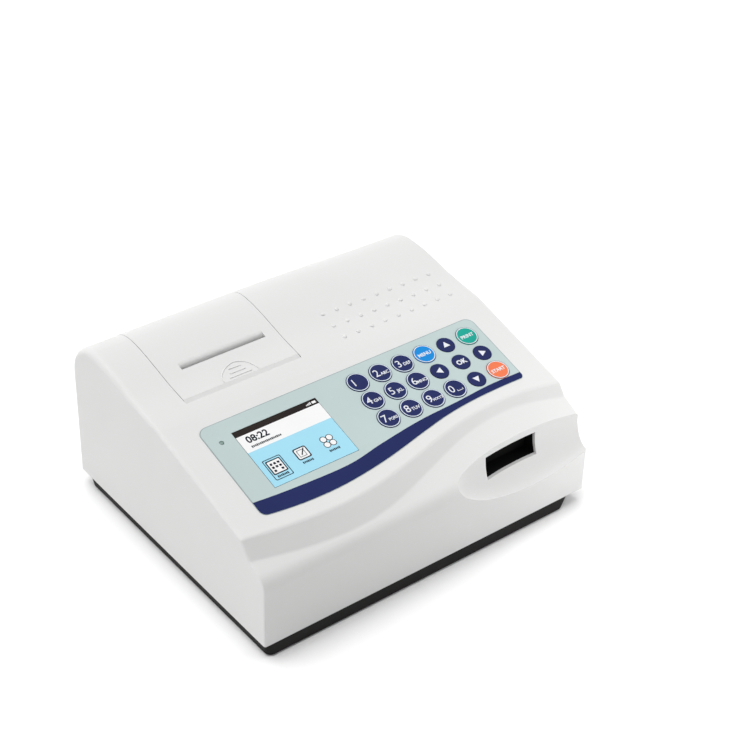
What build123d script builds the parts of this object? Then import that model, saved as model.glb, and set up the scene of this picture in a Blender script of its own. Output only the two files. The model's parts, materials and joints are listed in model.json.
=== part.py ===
from build123d import *
import os
from math import acos, atan2, cos, pi, radians, sin, sqrt, tan

# Desktop urine strip analyzer, in millimetres.
# Everything is laid out from the casing's front left bottom corner: X to the right, Y to the back,
# Z up from the casing's lower rim. save() moves it to the object's own frame, whose origin is on the
# ground under the middle of the casing.

# ---- casing ----
WIDTH = 284.0
DEPTH = 235.0
WALL = 2.5
BASE_H = 9.0                 # black base below the casing's rim
FOOT_H = 3.0
DECK_ANGLE = 15.3            # slope of the operating panel
DECK_Z0 = 66.9               # height of the panel's plane, carried on to the front wall
DECK_END = 122.0             # where the flat panel turns into the crown
SHELF_ANGLE = 27.0
SHELF_Z0 = 53.5
STEP_ANGLE = 52.0
STEP_MID = 29.5              # mean distance of the panel's front edge from the front wall
STEP_WAVE = 10.5             # the S-curve's swing either side of that
STEP_WAVE_LEFT = 6.6         # its swing left of the point where it comes nearest to the front
STEP_LENGTH = 300.0
STEP_START = 78.0
EDGE_R = 4.0                 # rounding of the panel's front edge
CREASE_R = 4.0
BULGE_R_MIN = 10.5
BULGE_R_MAX = 15.8
CROWN_Y = 207.0
CROWN_R = 28.0
CROWN_POINTS = [(140.0, 103.7), (158.0, 106.9), (175.0, 111.2), (190.0, 114.6)]
CROWN_TOP = 116.5
CROWN_DROP = 3.4             # how much lower the crown is at the right end
CROWN_DROP_FROM = 136.0
SIDE_R = {"front": 1.5, "shelf": 1.6, "step": 1.8, "deck": 2.0, "deck_end": 3.0, "crown": 5.5, "rear": 3.0}
CAP_DEPTHS = [0.0, 0.06, 0.25, 0.6, 1.1, 1.8, 3.0, 4.4, 6.0]   # the rounded ends, from each end in
CAP_DEPTHS_INSIDE = [0.0, 0.25, 1.1, 3.5]
SECTION_X = [30, 54, 78, 104, 130, 153, 178, 203, 228, 252]
SCOOP_AT = (234.1, 0.45, 59.45)
SCOOP_R = (72.36, 17.07, 32.64)
SLOT = (198.6, 246.6, 39.6, 57.0)          # tray slot: left, right, bottom, top

# ---- operating panel: places across (from the middle) and up its slope ----
OVERLAY_T = 0.8
OVERLAY_SINK = 0.5
FIT = 0.15
OVERLAY_TOP = 116.4
OVERLAY_LEFT = -118.7
OVERLAY_RIGHT = 120.4
OVERLAY_BOTTOM = [(116.6, 50.6), (93.0, 50.95), (68.0, 50.15), (49.0, 48.35),
                  (30.0, 45.2), (2.0, 39.5), (-13.0, 36.65), (-32.0, 33.95),
                  (-55.0, 31.85), (-75.0, 31.6), (-92.0, 32.5), (-113.9, 35.2)]
OVERLAY_CORNER_RISE = 5.5    # height of the rounded corner at its lower left
SCREEN = (-98.5, -28.7, 51.4, 104.1)
KEY_PITCH_X = 20.0
KEY_PITCH_Y = 18.37
KEY_AT = (6.7, 101.7)        # the digit 1
KEY_D = 17.4
SMALL_KEY_D = 14.3
KEY_GAP = 0.25
KEY_RISE = 0.5               # how far a key stands above the overlay
KEYS = [["1", "2", "3", "menu", "up", "print"],
        ["4", "5", "6", "left", "ok", "right"],
        ["7", "8", "9", "0", "down", "start"]]
SMALL_KEYS = ("up", "down", "left", "right", "ok")
KEY_WINDOW = (-3.6, 117.0, 55.4, 111.2)
LED_AT = (-108.7, 99.9)
LED_D = 3.2

# ---- printer ----
COVER = (31.7, 127.3)
COVER_FRONT = 136.0
COVER_GAP = 0.4
COVER_T = 2.2
HINGE_Y = 222.6
HINGE_Z = 109.2
HINGE_R = 2.2
HINGE_PIN_R = 0.8
HINGE_SEAT_GAP = 0.95        # room for the cover's rear edge as it swings up
PAPER_SLOT = (46.8, 117.1)
PAPER_SLOT_Y = 164.7
PLATEN_AT = (171.2, 97.0)
PLATEN_R = 5.0
PAPER = (51.5, 108.5)
ROLL_AT = (200.0, 84.0)
ROLL_R = 24.0
PAPER_T = 0.3
GEAR_MODULE = 0.8
PLATEN_TEETH = 20
IDLER_TEETH = 16
PINION_TEETH = 12
GEAR_X = (115.0, 119.0)
SHAFT_R = 1.5
SPINDLE_R = 4.0
BAY = (29.5, 129.5, 132.0, 228.0)          # the tub under the cover: left, right, front, back
BAY_FLOOR = 55.0
BAY_T = 2.0

# ---- strip tray ----
TRAY_W = 46.0
TRAY_H = 10.0
TRAY_L = 160.0
TRAY_FRONT = 26.0
RACK_MODULE = 1.0
TRAY_PINION_TEETH = 16
TRAY_GAP = 0.6               # between the tray and the channel's floor
TRAY_PINION_AT = (70.0, SLOT[2] - 6.45)
RACK_X = 207.0
MOTOR_FACE_X = 188.0
HEAD_Y = (84.0, 128.0)       # the optical head's window in the channel's roof

# ---- back and inside ----
PLATE_Z = 2.2                # underside of the chassis plate
PLATE_T = 1.5
BOARD_Z = 10.0
BOARD_T = 1.6
PAN_TOP = (4.0, 271.0, 3.2, 229.0)         # the base's outline at the rim: left, right, front, back
PAN_LOW = (8.0, 262.0, 5.0, 223.0)         # the same at its underside
PAN_T = 2.5
PANEL_X = (128.0, 256.0)
PANEL_Z = (10.0, 66.0)
PORT_Z = 38.0
ROCKER_Y = 230.6
ROCKER_TILT = 9.0
USB_X, SERIAL_X, SWITCH_X, INLET_X = 146.0, 172.0, 202.0, 231.0
SCREW_X = (18.0, 257.0)
SCREW_Y = (18.0, 118.0, 217.0)
SCREW_XY = [(x, y) for y in SCREW_Y for x in SCREW_X]

DECK = radians(DECK_ANGLE)
DECK_NORMAL = (0, -sin(DECK), cos(DECK))
DECK_PLANE = Plane(origin=(WIDTH / 2, 0, DECK_Z0), x_dir=(1, 0, 0), z_dir=DECK_NORMAL)
TO_FRAME = Location((-WIDTH / 2, -DEPTH / 2, BASE_H + FOOT_H))


def save(name, shape):
    export_step(TO_FRAME * shape, f"parts/{name}.step")


def block(x0, x1, y0, y1, z0, z1):
    """A box given by its two limits along each axis."""
    middle = Location(((x0 + x1) / 2, (y0 + y1) / 2, (z0 + z1) / 2))
    return middle * Box(x1 - x0, y1 - y0, z1 - z0)


def deck_block(u0, u1, v0, v1, w0, w1):
    """A box on the operating panel: u across, v up the slope, w out of it."""
    return DECK_PLANE.location * block(u0, u1, v0, v1, w0, w1)


def post(x, y, z0, z1, r):
    return Location((x, y, (z0 + z1) / 2)) * Cylinder(r, z1 - z0)


def rod(x0, x1, y, z, r):
    return Location(((x0 + x1) / 2, y, z), (0, 90, 0)) * Cylinder(r, x1 - x0)


def deck_disc(u, v, w0, w1, r):
    return DECK_PLANE.location * Location((u, v, (w0 + w1) / 2)) * Cylinder(r, w1 - w0)


def slab(points, x0, x1):
    """A closed outline in Y and Z, extruded from x0 to x1."""
    face = make_face(Polyline([(x0, y, z) for y, z in points], close=True))
    return extrude(face, amount=x1 - x0, dir=(1, 0, 0))


# ---- the casing's shape ----

def line_through(y, z, angle, inset):
    """A line in Y and Z that climbs at an angle, moved inwards: its normal and its distance."""
    ny = -sin(angle)
    nz = cos(angle)
    return ny, nz, y * ny + z * nz - inset


def crossing(a, b):
    det = a[0] * b[1] - a[1] * b[0]
    return (a[2] * b[1] - b[2] * a[1]) / det, (a[0] * b[2] - b[0] * a[2]) / det


def step_y(x):
    """How far the panel's front edge lies behind the front wall: an S-curve across the casing."""
    wave = STEP_WAVE if x > STEP_START else STEP_WAVE_LEFT
    return STEP_MID - STEP_WAVE + wave * (1 - cos(2 * pi * (x - STEP_START) / STEP_LENGTH))


def crown_drop(x):
    share = max(x - CROWN_DROP_FROM, 0) / (WIDTH - CROWN_DROP_FROM)
    return CROWN_DROP * (1 - cos(pi * share)) / 2


def bulge_radius(x):
    share = (1 - cos(2 * pi * (x - STEP_START) / STEP_LENGTH)) / 2
    return BULGE_R_MIN + (BULGE_R_MAX - BULGE_R_MIN) * share


def inset_at(depth, radius):
    """How far a rounding of this radius lies inside at this depth from the side's plane."""
    if depth >= radius:
        return 0.0
    return radius - sqrt(radius**2 - (radius - depth) ** 2)


def casing_section(x, depth, wall, bottom):
    """The casing's outline at x, as a face. depth is the distance from the nearer end of the body."""
    inset = {}
    for name, radius in SIDE_R.items():
        inset[name] = wall + inset_at(depth, max(radius - wall, 0.5))
    edge_y = step_y(x)
    edge_z = DECK_Z0 + edge_y * tan(DECK)
    front = line_through(0, 0, pi / 2, inset["front"])
    shelf = line_through(0, SHELF_Z0, radians(SHELF_ANGLE), inset["shelf"])
    step = line_through(edge_y, edge_z, radians(STEP_ANGLE), inset["step"])
    deck_start = (edge_y, edge_z - inset["deck"] / cos(DECK))
    deck_stop = (DECK_END, DECK_Z0 + DECK_END * tan(DECK) - inset["deck_end"] / cos(DECK))
    slope = atan2(deck_stop[1] - deck_start[1], deck_stop[0] - deck_start[0])
    deck = line_through(*deck_start, slope, 0)
    corners = [(inset["front"], bottom), crossing(front, shelf), crossing(shelf, step)]
    corners += [crossing(step, deck), deck_stop]
    edge_r = EDGE_R - min(inset["step"], EDGE_R - 2)
    radii = [bulge_radius(x) - inset["front"], CREASE_R + inset["step"], edge_r]
    front_line = FilletPolyline([(x, y, z) for y, z in corners], radius=radii)
    crown = [deck_stop]
    drop = crown_drop(x)
    top_z = CROWN_TOP - inset["crown"] - drop
    for y, z in CROWN_POINTS:
        share = (y - DECK_END) / (CROWN_Y - DECK_END)
        crown.append((y, z - inset["deck_end"] - (inset["crown"] - inset["deck_end"] + drop) * share))
    crown.append((CROWN_Y, top_z))
    top = Spline([(x, y, z) for y, z in crown], tangents=[(0, cos(slope), sin(slope)), (0, 1, 0)])
    half = sqrt(0.5)
    rear_y = DEPTH - inset["rear"]
    arc_z = CROWN_TOP - CROWN_R - drop
    mid_y = CROWN_Y + half * (rear_y - CROWN_Y)
    mid_z = arc_z + half * (top_z - arc_z)
    rear_arc = ThreePointArc((x, CROWN_Y, top_z), (x, mid_y, mid_z), (x, rear_y, arc_z))
    rear_line = Polyline([(x, rear_y, arc_z), (x, rear_y, bottom), (x, inset["front"], bottom)])
    return make_face([*front_line.edges(), top.edge(), rear_arc.edge(), *rear_line.edges()])


def casing_body(wall, bottom):
    """The casing as a solid, its faces moved inwards by wall: a middle stretch and two rounded ends."""
    depths = CAP_DEPTHS_INSIDE if wall else CAP_DEPTHS
    cap = depths[-1]
    full = CAP_DEPTHS[-1]
    middle = [wall + cap, *SECTION_X, WIDTH - wall - cap]
    solid = loft([casing_section(x, full, wall, bottom) for x in middle])
    left = [casing_section(wall + depth, depth, wall, bottom) for depth in depths]
    right = [casing_section(WIDTH - wall - depth, depth, wall, bottom) for depth in depths]
    return solid + loft(left, ruled=True) + loft(right, ruled=True)


def scoop(grow):
    """The oval hollow round the tray slot, grown by this much on every side."""
    radii = tuple(r + grow for r in SCOOP_R)
    return Location(SCOOP_AT) * scale(Sphere(1), by=radii)


def crown_band(x0, x1, y0, y1, over, under):
    """A strip of the crown's skin between two depths below its surface, flat at its ends."""
    start = (DECK_END, DECK_Z0 + DECK_END * tan(DECK))
    top_points = [start, *CROWN_POINTS, (CROWN_Y, CROWN_TOP)]

    def outline(depth):
        points = [(y, z - depth) for y, z in top_points]
        line = Spline([(x0, y, z) for y, z in points], tangents=[(0, cos(DECK), sin(DECK)), (0, 1, 0)])
        reach = sqrt(0.5) * (CROWN_R - depth)
        arc = ThreePointArc((x0, CROWN_Y, CROWN_TOP - depth),
                            (x0, CROWN_Y + reach, CROWN_TOP - CROWN_R + reach),
                            (x0, DEPTH - depth, CROWN_TOP - CROWN_R))
        base = CROWN_TOP - CROWN_R - 40
        rest = Polyline([(x0, DEPTH - depth, CROWN_TOP - CROWN_R), (x0, DEPTH - depth, base),
                         (x0, DECK_END, base), (x0, DECK_END, points[0][1])])
        return extrude(make_face([line.edge(), arc.edge(), *rest.edges()]), amount=x1 - x0, dir=(1, 0, 0))

    band = outline(over) - outline(under)
    return band & block(x0, x1, y0, y1, CROWN_TOP - 60, CROWN_TOP + 1)


def crown_fill(x0, x1, y0, y1, z0, depth):
    """Everything under the crown's skin from this depth down to z0."""
    return crown_band(x0, x1, y0, y1, depth, 200) & block(x0, x1, y0, y1, z0, CROWN_TOP)


# ---- casing parts ----

def printer_opening():
    """The hole in the casing that the printer's cover closes, with a round seat for its hinge."""
    x0 = COVER[0] - COVER_GAP
    x1 = COVER[1] + COVER_GAP
    hole = block(x0, x1, COVER_FRONT - 0.3, HINGE_Y, 60, 130)
    return hole + rod(x0, x1, HINGE_Y, HINGE_Z, HINGE_R + HINGE_SEAT_GAP)


def hinge_lugs():
    """Two blocks under the casing's skin, beside the opening, that hold the hinge pin's ends."""
    lugs = Part()
    for x0 in (COVER[0] - COVER_GAP - 6, COVER[1] + COVER_GAP):
        lugs += crown_fill(x0, x0 + 6, HINGE_Y - 4, HINGE_Y + 4, HINGE_Z - 4, 1.0)
    return lugs


def screw_bosses():
    bosses = Part()
    for x, y in SCREW_XY:
        side = WALL - 0.5 if x < WIDTH / 2 else WIDTH - WALL + 0.5
        bosses += post(x, y, PLATE_Z + PLATE_T, 26, 4.5)
        bosses += block(min(x, side), max(x, side), y - 1, y + 1, PLATE_Z + PLATE_T + 2, 24)
    for x, y in SCREW_XY:
        bosses -= post(x, y, PLATE_Z + PLATE_T - 1, 18, 1.52)
    return bosses


def rear_vents():
    vents = Part()
    for i in range(9):
        x = 38 + 9.5 * i
        vents += block(x, x + 3, DEPTH - 12, DEPTH + 2, 26, 52)
    return vents


def top_casing():
    shell = casing_body(0, 0) - scoop(0)
    shell -= casing_body(WALL, -1) - scoop(WALL)
    shell += hinge_lugs() + screw_bosses()
    x0, x1, z0, z1 = SLOT
    shell -= block(x0, x1, -5, TRAY_FRONT, z0, z1)
    shell -= overlay_body(FIT, 5)
    shell -= deck_block(SCREEN[0] - 1, SCREEN[1] + 1, SCREEN[2] - 1, SCREEN[3] + 1, -5, 1)
    shell -= deck_block(*KEY_WINDOW, -5, 1)
    shell -= deck_disc(*LED_AT, -5, 1, LED_D / 2 + 1.0)
    shell -= printer_opening()
    shell -= rod(COVER[0] - 4, COVER[1] + 4, HINGE_Y, HINGE_Z, HINGE_PIN_R + 0.02)
    shell -= block(PANEL_X[0] + 4, PANEL_X[1] - 4, DEPTH - 8, DEPTH + 2, PANEL_Z[0] + 4, PANEL_Z[1] - 4)
    shell -= rear_vents()
    save("top_casing", shell)


def pan_outline(limits, inset, z):
    x0, x1, y0, y1 = limits
    place = Location(((x0 + x1) / 2, (y0 + y1) / 2, z))
    return place * Rectangle(x1 - x0 - 2 * inset, y1 - y0 - 2 * inset)


def base_pan():
    """The black base: a drafted tray below the rim, with a flange that the casing stands round."""
    pan = loft([pan_outline(PAN_LOW, 0, -BASE_H), pan_outline(PAN_TOP, 0, 0)])
    hollow = loft([pan_outline(PAN_LOW, PAN_T + 1, PAN_T - BASE_H), pan_outline(PAN_TOP, PAN_T, 1)])
    flange = block(WALL + 0.3, WIDTH - WALL - 0.3, WALL + 0.3, DEPTH - WALL - 0.3, 0, PLATE_Z)
    flange = fillet(flange.edges().filter_by(Axis.Z), 6)
    x0, x1, y0, y1 = PAN_TOP
    pan = pan + flange - hollow
    pan -= block(x0 + 8, x1 - 8, y0 + 8, y1 - 8, 0, PLATE_Z + 1)
    for x, y in SCREW_XY:
        pan += post(x, y, 1 - BASE_H, PLATE_Z, 5)
    for x, y in SCREW_XY:
        pan -= post(x, y, -BASE_H - 1, PLATE_Z + 1, 1.7)
        pan -= post(x, y, -BASE_H - 1, -BASE_H + 4, 3.2)
    for x, y in foot_places():
        pan -= post(x, y, -BASE_H - 1, -BASE_H + 1, 7.1)
    save("base_pan", pan)


def foot_places():
    return [(x, y) for x in (44, WIDTH - 44) for y in (34, DEPTH - 40)]


def rubber_feet():
    feet = []
    for x, y in foot_places():
        foot = post(x, y, -BASE_H - FOOT_H, 1 - BASE_H, 7)
        feet.append(chamfer(foot.edges().group_by(Axis.Z)[0], 0.8))
    save("rubber_feet", Compound(feet))


def case_screws():
    screws = []
    for x, y in SCREW_XY:
        screw = post(x, y, 1.4 - BASE_H, 4 - BASE_H, 2.8) + post(x, y, 3 - BASE_H, 14, 1.5)
        screw -= Location((x, y, 1.4 - BASE_H)) * Box(4.4, 0.8, 2)
        screw -= Location((x, y, 1.4 - BASE_H)) * Box(0.8, 4.4, 2)
        screws.append(screw)
    save("case_screws", Compound(screws))


def chassis_plate():
    plate = block(12, WIDTH - 12, 10, DEPTH - 12, PLATE_Z, PLATE_Z + PLATE_T)
    for x, y in SCREW_XY:
        plate -= post(x, y, PLATE_Z - 1, PLATE_Z + PLATE_T + 1, 1.7)
    for x, y in board_posts():
        plate += post(x, y, PLATE_Z + PLATE_T - 0.5, BOARD_Z, 2.5)
    save("chassis_plate", plate)


def board_posts():
    return [(x, y) for x in (34, 150) for y in (28, 112)]


def main_board():
    top = BOARD_Z + BOARD_T
    board = block(28, 156, 22, 118, BOARD_Z, top)
    board += block(60, 80, 60, 80, top, top + 1.6)
    board += block(92, 106, 62, 76, top, top + 1.2)
    board += block(36, 50, 40, 96, top, top + 6)
    board += block(120, 150, 32, 40, top, top + 9)
    board += block(70, 120, 106, 112, top, top + 7)
    for i in range(4):
        board += post(96 + 11 * i, 48, top, top + 11, 4)
    for i in range(6):
        board += block(60 + 6 * i, 63 + 6 * i, 90, 96, top, top + 1)
    save("main_board", board)


# ---- back ----

def rear_panel():
    x0, x1 = PANEL_X
    y1 = DEPTH - WALL
    floor = PLATE_Z + PLATE_T
    panel = block(x0, x1, y1 - 2, y1, floor, PANEL_Z[1])
    panel += block(x0, x1 - 8, 208, y1 - 2, floor, floor + 1.5)
    panel -= block(INLET_X - 13.7, INLET_X + 13.7, 225, DEPTH, PORT_Z - 10.2, PORT_Z + 10.2)
    panel -= block(SWITCH_X - 9.8, SWITCH_X + 9.8, 225, DEPTH, PORT_Z - 6.8, PORT_Z + 6.8)
    panel -= block(SERIAL_X - 9.6, SERIAL_X + 9.6, 225, DEPTH, PORT_Z - 5.1, PORT_Z + 5.1)
    panel -= block(USB_X - 6.3, USB_X + 6.3, 225, DEPTH, PORT_Z - 6.0, PORT_Z + 6.0)
    save("rear_panel", panel)


def power_inlet():
    """The mains socket: a flanged box with a deep hollow and three blades standing in it."""
    y_face = DEPTH - 1.2
    body = block(INLET_X - 13.6, INLET_X + 13.6, 209, y_face, PORT_Z - 10.1, PORT_Z + 10.1)
    body += block(INLET_X - 16, INLET_X + 16, DEPTH - WALL, y_face + 1.2, PORT_Z - 12, PORT_Z + 12)
    hollow = block(INLET_X - 12.3, INLET_X + 12.3, 216, DEPTH + 2, PORT_Z - 8.3, PORT_Z + 8.3)
    hollow = chamfer(hollow.edges().filter_by(Axis.Y).group_by(Axis.Z)[-1], 5)
    body -= hollow
    for x, z in ((-7, -1.5), (0, 2.5), (7, -1.5)):
        body += block(INLET_X + x - 1, INLET_X + x + 1, 214, 230, PORT_Z + z - 2, PORT_Z + z + 2)
    save("power_inlet", body)


def power_switch():
    frame = block(SWITCH_X - 9.7, SWITCH_X + 9.7, 214, DEPTH - WALL, PORT_Z - 6.7, PORT_Z + 6.7)
    frame += block(SWITCH_X - 10.8, SWITCH_X + 10.8, DEPTH - WALL, DEPTH - 0.6, PORT_Z - 8, PORT_Z + 8)
    frame -= block(SWITCH_X - 8.5, SWITCH_X + 8.5, 221, DEPTH + 2, PORT_Z - 5.6, PORT_Z + 5.6)
    frame -= Location((SWITCH_X, ROCKER_Y, PORT_Z)) * Cylinder(1.0, 12.8)
    save("switch_frame", frame)
    half = 7.9
    tilt = ROCKER_TILT
    outline = Polyline([(-half, -3.2), (half, -3.2), (half, 3.4), (0, 1.6), (-half, 3.4)], close=True)
    rocker = extrude(make_face(outline), amount=5.1, both=True)
    rocker += Cylinder(0.93, 12.4)
    rocker = Location((SWITCH_X, ROCKER_Y, PORT_Z), (0, 0, tilt)) * rocker
    save("power_rocker", rocker)


def serial_port():
    outline = Polyline([(-8.9, 4.3), (8.9, 4.3), (7.4, -4.3), (-7.4, -4.3)], close=True)
    shell = extrude(make_face(outline), amount=6)
    shell = Location((SERIAL_X, DEPTH - 0.1, PORT_Z), (90, 0, 0)) * shell
    port = shell + block(SERIAL_X - 9.3, SERIAL_X + 9.3, 218, DEPTH - 3.5, PORT_Z - 5, PORT_Z + 5)
    flange_y = DEPTH - WALL
    port += block(SERIAL_X - 15.4, SERIAL_X + 15.4, flange_y, flange_y + 0.8, PORT_Z - 6.3, PORT_Z + 6.3)
    for x in (-12.4, 12.4):
        nut = extrude(RegularPolygon(2.7, 6), 1.9)
        port += Location((SERIAL_X + x, DEPTH - 0.2, PORT_Z), (90, 0, 0)) * nut
        port -= Location((SERIAL_X + x, DEPTH - 2, PORT_Z), (90, 0, 0)) * Cylinder(1.4, 8)
    for row, count in ((1.4, 5), (-1.4, 4)):
        for i in range(count):
            x = SERIAL_X + (i - (count - 1) / 2) * 2.77
            port -= Location((x, DEPTH, PORT_Z + row), (90, 0, 0)) * Cylinder(0.6, 8)
    save("serial_port", port)


def usb_port():
    port = block(USB_X - 6.1, USB_X + 6.1, 217, DEPTH - 0.4, PORT_Z - 5.8, PORT_Z + 5.8)
    mouth = block(USB_X - 5.5, USB_X + 5.5, 222, DEPTH + 1, PORT_Z - 5.2, PORT_Z + 5.2)
    mouth = chamfer(mouth.edges().filter_by(Axis.Y).group_by(Axis.Z)[-1], 1.8)
    port -= mouth
    port += block(USB_X - 2.8, USB_X + 2.8, 221, DEPTH - 2, PORT_Z - 1.6, PORT_Z + 1.6)
    save("usb_port", port)


def power_supply():
    """An open frame supply: a board in a folded metal tray, with its transformer and its capacitors."""
    floor = PLATE_Z + PLATE_T
    x0, x1, y0, y1 = 38, 122, 138, 218
    tray = block(x0, x1, y0, y1, floor, floor + 1.5)
    tray += block(x0, x0 + 1.5, y0, y1, floor, 34) + block(x1 - 1.5, x1, y0, y1, floor, 34)
    tray += block(x0 + 6, x1 - 6, y0 + 4, y1 - 4, floor + 1, 11)
    tray += block(64, 92, 164, 192, 10, 33)
    tray += post(52, 206, 10, 40, 8) + post(52, 186, 10, 34, 7)
    tray += block(104, 107, 146, 184, 10, 32)
    tray += block(48, 66, 144, 156, 10, 22)
    save("power_supply", tray)


# ---- operating panel ----

def overlay_face(grow):
    """The panel film's outline: three straight sides and a lower edge that follows the S-curve."""
    left = OVERLAY_LEFT - grow
    right = OVERLAY_RIGHT + grow
    top = OVERLAY_TOP + grow
    corner = 7.0
    lower = [(u, v - grow) for u, v in OVERLAY_BOTTOM]
    end = lower[0]
    start = lower[-1]
    bend = sqrt(0.5) * corner
    low = start[1] + OVERLAY_CORNER_RISE
    high = top - corner
    edges = [
        Line((left, low), (left, high)),
        ThreePointArc((left, high), (left + corner - bend, high + bend), (left + corner, top)),
        Line((left + corner, top), (right - corner, top)),
        ThreePointArc((right - corner, top), (right - corner + bend, high + bend), (right, high)),
        Line((right, high), (right, end[1] + 3.6)),
        TangentArc((right, end[1] + 3.6), end, tangent=(0, -1)),
        Spline(lower),
        TangentArc((left, low), start, tangent=(0, -1)),
    ]
    return make_face([edge.edge() for edge in edges])


def overlay_body(grow, height):
    face = overlay_face(grow)
    return DECK_PLANE.location * Location((0, 0, -OVERLAY_SINK)) * extrude(face, amount=height)


def key_place(row, column):
    return KEY_AT[0] + column * KEY_PITCH_X, KEY_AT[1] - row * KEY_PITCH_Y


def key_radius(name):
    return (SMALL_KEY_D if name in SMALL_KEYS else KEY_D) / 2


def each_key():
    for row, names in enumerate(KEYS):
        for column, name in enumerate(names):
            yield name, *key_place(row, column), key_radius(name)


def control_overlay():
    film = overlay_body(0, OVERLAY_T)
    film -= deck_block(SCREEN[0], SCREEN[1], SCREEN[2], SCREEN[3], -2, 2)
    film -= deck_disc(*LED_AT, -2, 2, LED_D / 2 + 0.15)
    for _, u, v, r in each_key():
        film -= deck_disc(u, v, -2, 2, r)
    save("control_overlay", film)


def keys():
    low = -OVERLAY_SINK
    high = OVERLAY_T - OVERLAY_SINK + KEY_RISE
    for name, u, v, r in each_key():
        cap = deck_disc(u, v, low, high, r - KEY_GAP)
        cap = fillet(cap.edges().filter_by(GeomType.CIRCLE).sort_by(Axis.Z)[-1:], 0.35)
        cap += deck_disc(u, v, low - 0.7, low, r + 0.3)
        cap += deck_disc(u, v, low - 1.2, low - 0.7, 2.5)
        save(f"key_{name}", cap)


def keypad_board():
    """The board behind the keys, with a snap dome under each."""
    u0, u1, v0, v1 = KEY_WINDOW
    board = deck_block(u0 - 1.5, u1 + 1.5, v0 - 2, v1 + 3, -WALL - BOARD_T, -WALL)
    for _, u, v, _ in each_key():
        board += deck_disc(u, v, -WALL - 0.2, -WALL + 0.3, 4)
    board += deck_block(20, 60, 92, 100, -WALL - BOARD_T - 4, -WALL - 1)
    save("keypad_board", board)


def display():
    u0, u1, v0, v1 = SCREEN
    glass = deck_block(u0 + 0.1, u1 - 0.1, v0 + 0.1, v1 - 0.1, -1.2, OVERLAY_T - OVERLAY_SINK)
    save("lcd_window", glass)
    module = deck_block(u0 - 0.9, u1 + 0.9, v0 - 0.9, v1 + 0.9, -4.4, -1.2)
    module += deck_block(u0 - 6, u1 + 6, v0 - 6, v1 + 4, -6.4, -4.4)
    save("lcd_module", module)
    u, v = LED_AT
    led = deck_disc(u, v, -4, 0.3, LED_D / 2) + deck_disc(u, v, -4, -1.2, LED_D / 2 + 0.7)
    led = fillet(led.edges().filter_by(GeomType.CIRCLE).sort_by(Axis.Z)[-1:], 0.6)
    save("status_led", led)


# ---- gears ----

def gear(teeth, module, x0, x1, at, phase, bore):
    """A straight-toothed wheel about the X direction. phase is the angle of one tooth."""
    pitch_r = teeth * module / 2
    root_r = pitch_r - 1.15 * module
    tip_r = pitch_r + 0.8 * module
    root_half = 0.98 * module / root_r
    tip_half = 0.3 * module / tip_r
    points = []
    for i in range(teeth):
        middle = phase + 2 * pi * i / teeth
        for angle, r in ((-root_half, root_r), (-tip_half, tip_r), (tip_half, tip_r), (root_half, root_r)):
            points.append((at[0] + r * cos(middle + angle), at[1] + r * sin(middle + angle)))
    wheel = slab(points, x0, x1)
    if bore:
        wheel -= rod(x0 - 1, x1 + 1, *at, bore)
    return wheel


def meshed(at, phase, teeth, direction, module, next_teeth):
    """Place and phase of the wheel that meshes with one at this place, in this direction."""
    distance = (teeth + next_teeth) * module / 2 + 0.1
    place = (at[0] + distance * cos(direction), at[1] + distance * sin(direction))
    share = ((direction - phase) / (2 * pi / teeth)) % 1
    return place, direction + pi + (share - 0.5) * 2 * pi / next_teeth


PLATEN_PHASE = 0.0
IDLER_DIRECTION = radians(230)
PINION_DIRECTION = radians(190)
IDLER_AT, IDLER_PHASE = meshed(PLATEN_AT, PLATEN_PHASE, PLATEN_TEETH, IDLER_DIRECTION,
                               GEAR_MODULE, IDLER_TEETH)
MOTOR_AT, MOTOR_PHASE = meshed(IDLER_AT, IDLER_PHASE, IDLER_TEETH, PINION_DIRECTION,
                               GEAR_MODULE, PINION_TEETH)


# ---- printer ----

def printer_cover():
    x0, x1 = COVER
    skin = crown_band(x0, x1, COVER_FRONT, HINGE_Y, 0, COVER_T)
    skin += rod(x0, x1, HINGE_Y, HINGE_Z, HINGE_R)
    bevel_y = COVER_FRONT + 3.8
    bevel = [(COVER_FRONT - 1, 101.4), (bevel_y, 103.6), (bevel_y, 110), (COVER_FRONT - 1, 110)]
    skin -= slab(bevel, x0 - 1, x1 + 1)
    slot_y = PAPER_SLOT_Y
    slot = [(slot_y, 100), (slot_y, 112), (slot_y + 6.4, 112), (slot_y + 6.4, 109.6), (slot_y + 4.2, 108.0),
            (slot_y + 2.8, 106.4), (slot_y + 2.4, 105.0), (slot_y + 2.4, 100)]
    skin -= slab(slot, *PAPER_SLOT)
    skin -= rod(x0 - 1, x1 + 1, HINGE_Y, HINGE_Z, HINGE_PIN_R + 0.05)
    save("printer_cover", skin)


def hinge_pin():
    save("hinge_pin", rod(COVER[0] - 3.8, COVER[1] + 3.8, HINGE_Y, HINGE_Z, HINGE_PIN_R))


def printer_bay():
    """The tub under the printer's cover. Its rim follows the underside of the casing's crown."""
    x0, x1, y0, y1 = BAY
    tub = crown_fill(x0, x1, y0, y1, BAY_FLOOR, WALL + 0.35)
    tub -= crown_fill(x0 + BAY_T, x1 - BAY_T, y0 + BAY_T, y1 - BAY_T, BAY_FLOOR + BAY_T, 0)
    rim = crown_band(x0 - 4, x1 + 4, y0, HINGE_Y - 8, WALL + 0.35, WALL + 2.35)
    rim -= crown_band(x0 + 1, x1 - 1, y0 + 1, y1, 0, 20)
    tub += rim
    tub -= block(x0 - 8, x1 + 8, HINGE_Y - 5, y1 + 1, HINGE_Z - 5, HINGE_Z + 20)
    for x in (x0 - 1, x1 - BAY_T - 1):
        tub -= rod(x, x + BAY_T + 2, *ROLL_AT, SPINDLE_R + 0.02)
    save("printer_bay", tub)


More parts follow.
